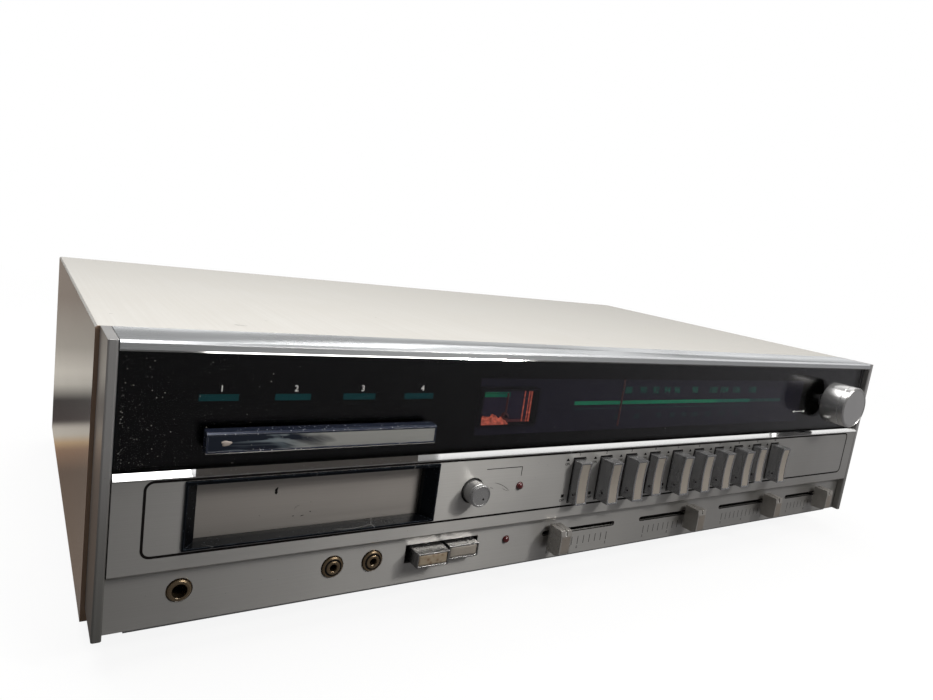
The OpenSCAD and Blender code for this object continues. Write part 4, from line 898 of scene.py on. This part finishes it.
glassPrint = {
    "windowX": [-183.0 + 31.3 * k for k in (-1.5, -0.5, 0.5, 1.5)],
    "windowZ": 98.0, "wide": 16.0, "high": 2.9,
    "numberX": 0.3, "numberZ": 102.3, "numberSize": 3.9,
    "dial": (-100.5, 189.5, 76.5, 107.0),  # left, right, low and high
    "bar": (7.6, 3.1), "knob": (4.2, 4.2),  # half sizes of the openings for the selector bar and the knob
    "behind": 0.05, "film": 0.1, "filmOver": 0.4, "before": 0.03, "insetX": 0.5, "insetZ": 0.3,
    "tuning": (179.8, 195.6, 84.2), "arrow": (2.4, 0.9), "arrowLine": 0.2, "arrowTip": 0.01,
}


def makeGlassMask():
    # black film behind the glass: a grid split at every window edge, without the cells inside the windows
    v = glassPrint
    low, high = boxOf("dial_glass")
    y = high[1] + v["behind"]
    x0, x1 = low[0] + v["insetX"], high[0] - v["insetX"]
    z0, z1 = low[2] + v["insetZ"], high[2] - v["insetZ"]
    places = [(x, v["windowZ"], v["wide"] / 2, v["high"] / 2) for x in v["windowX"]]
    for name, half in (("selector_bar", v["bar"]), ("tuning_knob", v["knob"])):
        x, _, z = centre(name)
        places.append((x, z, *half))
    holes = [v["dial"]] + [(x - w, x + w, z - h, z + h) for x, z, w, h in places]
    xs = np.unique(np.round([x0, x1] + [h[i] for h in holes for i in (0, 1)], 4))
    zs = np.unique(np.round([z0, z1] + [h[i] for h in holes for i in (2, 3)], 4))
    px, pz = np.meshgrid(xs, zs)
    points = np.stack([px.ravel(), np.full(px.size, y), pz.ravel()], 1)
    faces = gridFaces(len(zs), len(xs))
    mid = points[faces].mean(1)
    inside = np.zeros(len(faces), bool)
    for a, b, c, d in holes:
        inside |= (mid[:, 0] > a) & (mid[:, 0] < b) & (mid[:, 2] > c) & (mid[:, 2] < d)
    addPiece("glassMask", points, faces[~inside], "glassMask", "chassis")
    e = v["filmOver"]
    films = [strip(a - e, b + e, c - e, d + e, y + v["film"]) for a, b, c, d in holes[1:5]]
    gridsPiece("programmeFilms", films, "tealFilm", "chassis")


def makeGlassPrint():
    # a number over each window; over the knob a line with a triangle at each end
    v = glassPrint
    y = boxOf("dial_glass")[0][1] - v["before"]
    size, off, z = v["numberSize"], v["numberX"], v["numberZ"]
    entries = [(str(k + 1), size, x + off, z) for k, x in enumerate(v["windowX"])]
    lettersPiece("programmeNumbers", entries, y, "whitePrint", "chassis")
    a, b, z = v["tuning"]
    long, half = v["arrow"]
    c, d, tip = a + long, b - long, z + v["arrowTip"]
    arrow = [strip(c, d, z - v["arrowLine"], z + v["arrowLine"], y),
        quad(y, (a, z), (c, z - half), (a, tip), (c, z + half)),
        quad(y, (d, z - half), (b, z), (d, z + half), (b, tip))]
    gridsPiece("tuningArrows", arrow, "whitePrint", "chassis")


makeGlassMask()
makeGlassPrint()

dialPrint = {
    "bar": (-29.5, 172.0, 90.3, 92.5), "parts": 11,
    "line": (-29.5, 131.0, 87.7, 88.1), "tick": 0.25, "ticksZ": (88.2, 90.0), "before": 0.04,
    "topZ": 98.9, "lowZ": 82.3, "topSize": 6.0, "lowSize": 4.8,
    "top": [(12.9, "88"), (25.6, "90"), (37.1, "92"), (47.5, "94"), (56.9, "96"), (74.4, "98"), (92.9, "100"),
        (104.5, "104"), (118.0, "106"), (136.0, "108")],
    "low": [(6.7, "54"), (23.7, "60"), (43.3, "70"), (56.6, "80"), (67.6, "90"), (78.0, "100"), (91.7, "120"),
        (106.6, "140"), (121.8, "160")],
}


def makeDialPrint():
    # a bar in equal parts that fades in two steps, a line with ticks under it, and a row of numbers
    # above and below, all glowing with painted light
    v = dialPrint
    y = boxOf("dial_plate")[0][1] - v["before"]
    left, right, z0, z1 = v["bar"]
    split = np.linspace(left, right, v["parts"] + 1)
    bright = [strip(split[k], split[k + 1], z0, z1, y) for k in range(7)]
    gridsPiece("dialBar", bright, "dialGreen", "chassis")
    gridsPiece("dialBarMiddle", [strip(split[7], split[9], z0, z1, y)], "dialDim", "chassis")
    gridsPiece("dialBarEnd", [strip(split[9], split[11], z0, z1, y)], "dialFaint", "chassis")
    ticks = [strip(*v["line"], y)]
    ticks += [strip(x - v["tick"], x + v["tick"], *v["ticksZ"], y) for x, _ in v["low"]]
    gridsPiece("dialLine", ticks, "dialFaint", "chassis")
    for name, row, look in (("dialNumbersTop", "top", "dialDim"), ("dialNumbersLow", "low", "dialFaint")):
        entries = [(text, v[row + "Size"], x, v[row + "Z"]) for x, text in v[row]]
        lettersPiece(name, entries, y, look, "chassis")


makeDialPrint()

meterFace = {
    "cardY": 12.6, "inset": 1.25,
    "band": (0.2, 20.0, 95.4, 98.0), "brightShare": 0.6, "line": (0.85, 0.6),
    "ticks": 6, "tickPlace": 0.4, "tickWide": 0.45, "tickHigh": 1.0, "paint": 0.06, "linePaint": 0.1,
    "mound": (-95.5, -78.0), "moundHigh": 4.0, "moundFront": 0.8, "moundBack": 0.3, "floor": 0.03,
    "posts": ((-66.9, -66.1), (-64.1, -63.4), (-62.9, -61.8)), "edgeFootZ": 0.4, "edgeBackY": 0.5, "edgeStep": 0.3,
    "glimmer": (-79.5, -62.2, 0.1, 1.7), "glimmerY": 0.4,
}


def makeMeterFace():
    # the card with its band and ticks, each a flat strip a little before the last; card, band and ticks glow
    # with painted light
    v = meterFace
    low, high = boxOf("tuning_meter")
    x0, x1 = low[0] + v["inset"], high[0] - v["inset"]
    z0, z1 = low[2] + v["inset"], high[2] - v["inset"]
    y = v["cardY"]
    paint = y - v["paint"]
    a, b, c, d = v["band"]
    split = x0 + v["brightShare"] * b
    top, foot = v["line"]
    step = (b - a) / v["ticks"]
    starts = [x0 + a + (k + v["tickPlace"]) * step for k in range(v["ticks"])]
    ticks = [strip(x, x + v["tickWide"], d, d + v["tickHigh"], paint) for x in starts]
    for name, strips, look in (
            ("meterCard", [strip(x0, x1, z0, z1, y)], "meterCard"),
            ("meterBand", [strip(x0 + a, split, c, d, paint)], "meterGreen"),
            ("meterBandEnd", [strip(split, x0 + b, c, d, paint)], "dialDim"),
            ("meterBandLine", [strip(x0 + a, x0 + b, d - top, d - foot, y - v["linePaint"])], "meterCasing"),
            ("meterTicks", ticks, "dialDim")):
        gridsPiece(name, strips, look, "chassis")
    # crumpled reflector on the floor of the chamber, its orange glow painted light from the meter lamp:
    # ripples of three sines on a low mound
    p, q = v["mound"]
    front = low[1] + v["moundFront"]
    u, w = np.meshgrid(np.linspace(0, 1, 56), np.linspace(0, 1, 26))
    swell = np.clip(np.sin(np.pi * (0.12 + 0.8 * u)), 0, 1) ** 0.7 * w ** 0.7
    ripples = v["moundHigh"] + 0.9 * np.sin(17 * u + 5 * w) * np.cos(7 * w) + 0.35 * np.sin(37 * u - 11 * w)
    height = z0 + np.maximum(swell * ripples, v["floor"])
    g = np.stack([p + u * (q - p), front + w * (y - front - v["moundBack"]), height], 2)
    gridsPiece("meterReflector", [g], "meterOrange", "chassis", smooth=True)
    # painted light: upright strips that glow where the chamber's side walls catch the lamp, then a low
    # glimmer strip
    foot, back, step = z0 + v["edgeFootZ"], y - v["edgeBackY"], v["edgeStep"]
    posts = [strip(m, n, foot, z1, back - step * k) for k, (m, n) in enumerate(v["posts"])]
    gridsPiece("meterLitEdges", posts, "meterOrange", "chassis")
    m, n, foot, top = v["glimmer"]
    glimmer = strip(m, n, z0 + foot, z0 + top, y - v["glimmerY"])
    gridsPiece("meterGlimmer", [glimmer], "meterGlimmer", "chassis")


makeMeterFace()
print("dial")

# profiles of (y, height over the trim's lower edge): on the lip from underneath out to a nose and up
# its face, on the ledge the polished slope under the glass
beads = {
    "trimBead": {"on": "top_trim", "end": 0.3,
        "profile": [(0.02, -0.02), (-0.12, -0.05), (-0.28, 0.06), (0.0, 0.62)]},
    "ledgeBead": {"on": "ledge_trim", "end": 0.2,
        "profile": [(0.02, 0.02), (-0.92, 0.04), (-0.95, 0.12), (1.55, 2.31), (2.9, 2.31)]},
}


def makeBeads():
    # a profile drawn straight from one end of its trim to the other
    for name, v in beads.items():
        low, high = boxOf(v["on"])
        ends = (low[0] + v["end"], high[0] - v["end"])
        g = np.array([[[x, y, low[2] + z] for x in ends] for y, z in v["profile"]])
        gridsPiece(name, [g], "polishedTrim", "chassis")


makeBeads()


def square(columns, rows, start=-1):
    # two parameters from start to 1 on a grid: the first across, the second up
    return np.meshgrid(np.linspace(start, 1, columns), np.linspace(start, 1, rows))


keyInsert = {"wide": 6.3, "inset": 1.05, "hollow": 0.9, "sunk": 0.20, "crown": 0.12, "thick": 0.25}


def makeKeyInserts():
    # a strip bent like the key's front: y = hollow times (1 - t squared), crowned across its width
    v = keyInsert
    u, t = square(9, 25)
    for i in range(1, 11):
        low, high = boxOf(f"key_{i}")
        x, _, z = centre(f"key_{i}")
        half = (high[2] - low[2]) / 2
        reach = (half - v["inset"]) / half
        crown = v["crown"] * (1 - u ** 4) * (1 - t ** 8)
        y = low[1] + v["hollow"] * (1 - (t * reach) ** 2) + v["sunk"] - crown
        g = np.stack([x + u * v["wide"] / 2, y, z + t * (half - v["inset"])], 2)
        slabPiece(f"keyInsert{i}", g, v["thick"], "insertCream", f"key{i}", "cream_plastic")


makeKeyInserts()

keySideMark = {"size": 1.1, "up": 5.2, "out": 0.5, "lift": 0.02}


def makeKeySideMarks():
    # a small dark square on each key's left side
    v = keySideMark
    h = v["size"] / 2
    for i in range(1, 11):
        low = boxOf(f"key_{i}")[0]
        x, y, z = low[0] - v["lift"], low[1] * v["out"], low[2] + v["up"]
        g = np.array([[[x, y + h, z + e], [x, y - h, z + e]] for e in (-h, h)])
        gridsPiece(f"keySideMark{i}", [g], "blackPrint", f"key{i}")


makeKeySideMarks()

buttonInsert = {"rim": 0.85, "sunk": 0.25, "crown": 0.25, "thick": 0.2, "drop": 0.3}


def makeButtonInserts():
    # a cushion-shaped plate: height falls off near all four edges as 1 - u to the 6th times 1 - w to the 6th
    v = buttonInsert
    u, w = square(25, 13)
    for name, body, look in (
            ("fast_forward_button", "fast_forward", "insertRust"), ("mode_button", "mode", "insertCream")):
        low, high = boxOf(name)
        x, _, z = centre(name)
        y = low[1] + v["sunk"] + v["drop"] - (v["crown"] + v["drop"]) * (1 - u ** 6) * (1 - w ** 6)
        wide, tall = (high[0] - low[0]) / 2 - v["rim"], (high[2] - low[2]) / 2 - v["rim"]
        g = np.stack([x + u * wide, y, z + w * tall], 2)
        slabPiece(f"{body}Insert".replace("_", ""), g, v["thick"], look, body, "cream_plastic", smooth=True)


makeButtonInserts()

sliderLine = {"wide": 0.7, "x": -0.2, "brow": (0.45, 3.1), "bend": 1.05, "deep": 0.75, "back": 2.1}
sliderInsert = {"inset": 0.9, "lift": 0.06, "top": 3.6, "low": 2.1, "thick": 0.05}


def makeSliderLines():
    # a white line in the bottom of the knob's groove, along the top and down the brow
    v = sliderLine
    for i in range(1, 5):
        low, high = boxOf(f"slider_knob_{i}")
        x, out, top = centre(f"slider_knob_{i}")[0] + v["x"], low[1], high[2]
        brow, down = v["brow"]
        path = [(out + brow, top - down), (out + v["bend"], top - v["deep"]),
            (lowerPanel["setBack"] - v["back"], top - v["deep"])]
        g = np.array([[[x + e, y, z] for e in (-v["wide"] / 2, v["wide"] / 2)] for y, z in path])
        gridsPiece(f"sliderLine{i}", [g], "whitePrint", f"slider{i}")


def makeSliderInserts():
    # a thin plate on the knob's front: lifted in the middle, flush at its rim
    v = sliderInsert
    u, w = square(9, 9)
    for i in range(1, 5):
        low, high = boxOf(f"slider_knob_{i}")
        x = centre(f"slider_knob_{i}")[0]
        z0, z1 = low[2] + v["low"], high[2] - v["top"]
        half = (high[0] - low[0]) / 2 - v["inset"]
        y = low[1] - v["lift"] * (1 - u ** 8) * (1 - w ** 8)
        g = np.stack([x + u * half, y, (z0 + z1) / 2 + w * (z1 - z0) / 2], 2)
        slabPiece(f"sliderInsert{i}", g, v["thick"], "insertBrown", f"slider{i}", "cream_plastic")


makeSliderLines()
makeSliderInserts()

barFace = {"inset": 0.75, "under": 0.5, "over": 0.9, "sunk": 0.22, "crown": 0.10, "thick": 0.06}
barDab = {"x": -228.2, "z": 81.7, "wide": 4.4, "high": 2.5, "sunk": 0.28, "proud": 0.5}


def makeBarFace():
    # a cushion-shaped plate in the bar's recess, coloured with the painted reflection: it falls off near its
    # edges as 1 - u to the 8th times 1 - w to the 4th
    v = barFace
    low, high = boxOf("selector_bar")
    x = centre("selector_bar")[0]
    z0, z1 = low[2] + v["under"] + v["inset"], high[2] - v["over"] - v["inset"]
    u, w = square(61, 13)
    y = low[1] + v["sunk"] - v["crown"] * (1 - u ** 8) * (1 - w ** 4)
    half = (high[0] - low[0]) / 2 - v["inset"]
    g = np.stack([x + u * half, y, (z0 + z1) / 2 + w * (z1 - z0) / 2], 2)
    slabPiece("selectorFace", g, v["thick"], "barSpecksAndPaintedReflection", "selector", "chrome_plate")


def makeBarDab():
    # a small uneven dome on the selector bar: radius wobbles with the angle, height is a quarter circle
    v = barDab
    y = boxOf("selector_bar")[0][1] + v["sunk"]
    r, a = np.meshgrid(np.linspace(1, 0, 9), np.linspace(0, 2 * np.pi, 28, endpoint=False), indexing="ij")
    reach = r * (1 + 0.12 * np.sin(3 * a + 1) + 0.07 * np.sin(5 * a)) / 2
    dome = y - v["proud"] * np.sqrt(np.clip(1 - r ** 2, 0, 1))
    g = np.stack([v["x"] + reach * np.cos(a) * v["wide"], dome, v["z"] + reach * np.sin(a) * v["high"]], 2)
    gridsPiece("selectorDab", [g], "dabPaint", "selector", closed=True, smooth=True, weld=True)


makeBarFace()
makeBarDab()

recordDot = {"x": 1.6, "z": -1.7, "r": 0.55, "sunk": 0.31}


def makeRecordDot():
    # a flat disc near the button's edge
    v = recordDot
    x, _, z = centre("record_button")
    y = boxOf("record_button")[0][1] + v["sunk"]
    g = ringGrid(x + v["x"], z + v["z"], [(v["r"], y), (0, y)], 20)
    gridsPiece("recordDot", [g], "blackPrint", "record", closed=True, weld=True)


makeRecordDot()

turning = {"pitch": 0.0009, "strength": 0.35}


def makeRings(name, middle):
    # turned rings in a finish's bump: the sine of the distance from the axis, which runs to the front
    t = finishes[name].node_tree
    place = node(t, "ShaderNodeTexCoord").outputs["Object"]
    flat = vectorMaths(t, "MULTIPLY", vectorMaths(t, "SUBTRACT", place, middle), (1.0, 0.0, 1.0))
    away = vectorMaths(t, "LENGTH", flat)
    wave = maths(t, "SINE", maths(t, "MULTIPLY", away, 2 * math.pi / turning["pitch"]))
    bump = next(n for n in t.nodes if n.bl_idname == "ShaderNodeBump").inputs["Height"]
    t.links.new(maths(t, "MULTIPLY_ADD", wave, turning["strength"], bump.links[0].from_socket), bump)


makeRings("spunAluminium", toFrame(centre("tuning_knob")).tolist())
print("controls")

screw = {"r": 3.0, "dome": 1.1, "flat": 0.96, "fromEdge": 10, "x": (-60, 120), "z": (8, 100)}


def makeScrews():
    # low domed heads on the back: height is dome times the root of one minus flat times the radius squared
    v = screw
    back, wide = boxOf("rear_panel")[1][1], boxOf("rear_panel")[1][0] - v["fromEdge"]
    t = np.linspace(0, 1, 7)
    dome = np.stack([v["r"] * t, back + v["dome"] * np.sqrt(1 - t ** 2 * v["flat"])], 1)
    grids = [ringGrid(x, z, dome, 22) for x in (-wide, *v["x"], wide) for z in v["z"]]
    gridsPiece("rearScrews", grids, "screwSteel", "chassis", "sheet_steel", closed=True, smooth=True,
        weld=True)


makeScrews()

# radius and height of the nut's circles from the outside in, and the groove's two radii
micRing = {
    "x": (-171.7, -151.0), "z": 14.9,
    "nut": [(3.45, 0.0), (3.35, 0.3), (2.9, 0.55), (2.0, 0.45), (1.85, 0.0)],
    "groove": [(4.25, 0.03), (3.45, 0.03)],
}


def makeMicRings():
    # a raised nut round each microphone bore and the dark groove round the nut, both turned
    v = micRing
    face = boxOf("front_jacks")[0][1]
    for name, profile, look in (("micNuts", "nut", "wornNickel"), ("micGrooves", "groove", "blackPrint")):
        circles = [(r, face - out) for r, out in v[profile]]
        gridsPiece(name, [ringGrid(x, v["z"], circles, 36) for x in v["x"]], look, "chassis", closed=True)


makeMicRings()

dust = {"count": 300, "seed": 11, "low": 0.07, "high": 0.25, "lift": 0.02, "left": 2, "reach": 60,
    "anywhere": 5,  # one in so many lies anywhere along the glass
    "start": 4, "length": 520, "foot": 70, "height": 46, "stretch": 1.3}


def makeDust():
    # small triangles scattered with a bias to the glass's left end and lower edge: powers of a random number
    v = dust
    rng = np.random.default_rng(v["seed"])
    n, few = v["count"], v["count"] // v["anywhere"]
    left, y, _ = boxOf("dial_glass")[0]
    x = left + v["left"] + v["reach"] * rng.random(n) ** 2.2
    x[:few] = left + v["start"] + v["length"] * rng.random(few)
    z = v["foot"] + v["height"] * rng.random(n) ** 1.3
    r = v["low"] + (v["high"] - v["low"]) * rng.random(n) ** 3
    a = (rng.random(n) * 6.28)[:, None] + np.arange(3) * 2.094
    px = x[:, None] + r[:, None] * np.cos(a) * v["stretch"]
    pz = z[:, None] + r[:, None] * np.sin(a)
    points = np.stack([px, np.full_like(px, y - v["lift"]), pz], 2).reshape(-1, 3)
    addPiece("glassDust", points, np.arange(3 * n).reshape(-1, 3), "dustFlakes", "chassis")


makeDust()

# each mark is (x, z, length, width, turn in degrees, bend); on the top the second number is y
marks = {
    "panel": [(-81.5, 49.0, 12.5, 0.38, -27, 0.9), (-88.4, 48.9, 2.6, 0.35, -15, 0.2),
        (-79.0, 47.4, 5.0, 0.25, -24, -0.3)],
    "flap": [(-201.5, 54.2, 2.9, 1.5, 92, 0.0), (-201.1, 55.5, 1.3, 0.8, 70, 0.0),
        (-192.6, 41.6, 1.0, 0.45, 0, 0.0), (-188.3, 41.3, 1.8, 0.4, 10, 0.1),
        (-184.6, 43.0, 0.7, 0.5, 0, 0.0), (-191.2, 45.6, 3.0, 0.16, 40, 0.5),
        (-237.0, 57.5, 0.9, 0.35, 20, 0.0)],
    "top": [(-213.0, 44.5, 6.0, 0.8, -12, 0.5), (-214.6, 46.4, 2.6, 0.5, -30, 0.1),
        (-196.0, 62.0, 1.2, 0.5, 0, 0.0), (-265.5, 60.0, 2.0, 0.4, 40, 0.0),
        (-120.0, 96.0, 1.5, 0.45, 10, 0.0), (20.0, 60.0, 2.2, 0.4, -20, 0.2),
        (150.0, 130.0, 1.6, 0.5, 30, 0.0)],
}
markLift = 0.02


def ribbon(u, w, length, width, turn, bend):
    # a mark that tapers to both ends: width follows the sine, the middle is pushed out by bend
    t = np.linspace(0, 1, 11)
    along = (t - 0.5) * length
    across = bend * (1 - (2 * t - 1) ** 2)
    half = width / 2 * np.sin(np.pi * (0.04 + 0.92 * t)) * (1 + 0.25 * np.sin(9 * t))
    c, s = math.cos(math.radians(turn)), math.sin(math.radians(turn))
    edges = [across - half, across + half]
    return np.stack([np.stack([u + along * c - e * s, w + along * s + e * c], 1) for e in edges], 0)


def makeMarks():
    # ribbons laid a hair off their surface: axis 1 is the front's direction, axis 2 the top's
    flap, top = boxOf("door_flap")[0][1] - markLift, boxOf("cabinet_sleeve")[1][2] + markLift
    for name, body, look, axis, level in (
            ("panel", "chassis", "scratchMark", 1, -panelPrint["lift"]),
            ("flap", "flap", "blackPrint", 1, flap), ("top", "chassis", "scratchMark", 2, top)):
        grids = [np.insert(ribbon(*m), axis, level, 2) for m in marks[name]]
        gridsPiece(f"{name}Marks", grids, look, body)


makeMarks()
print("small parts")
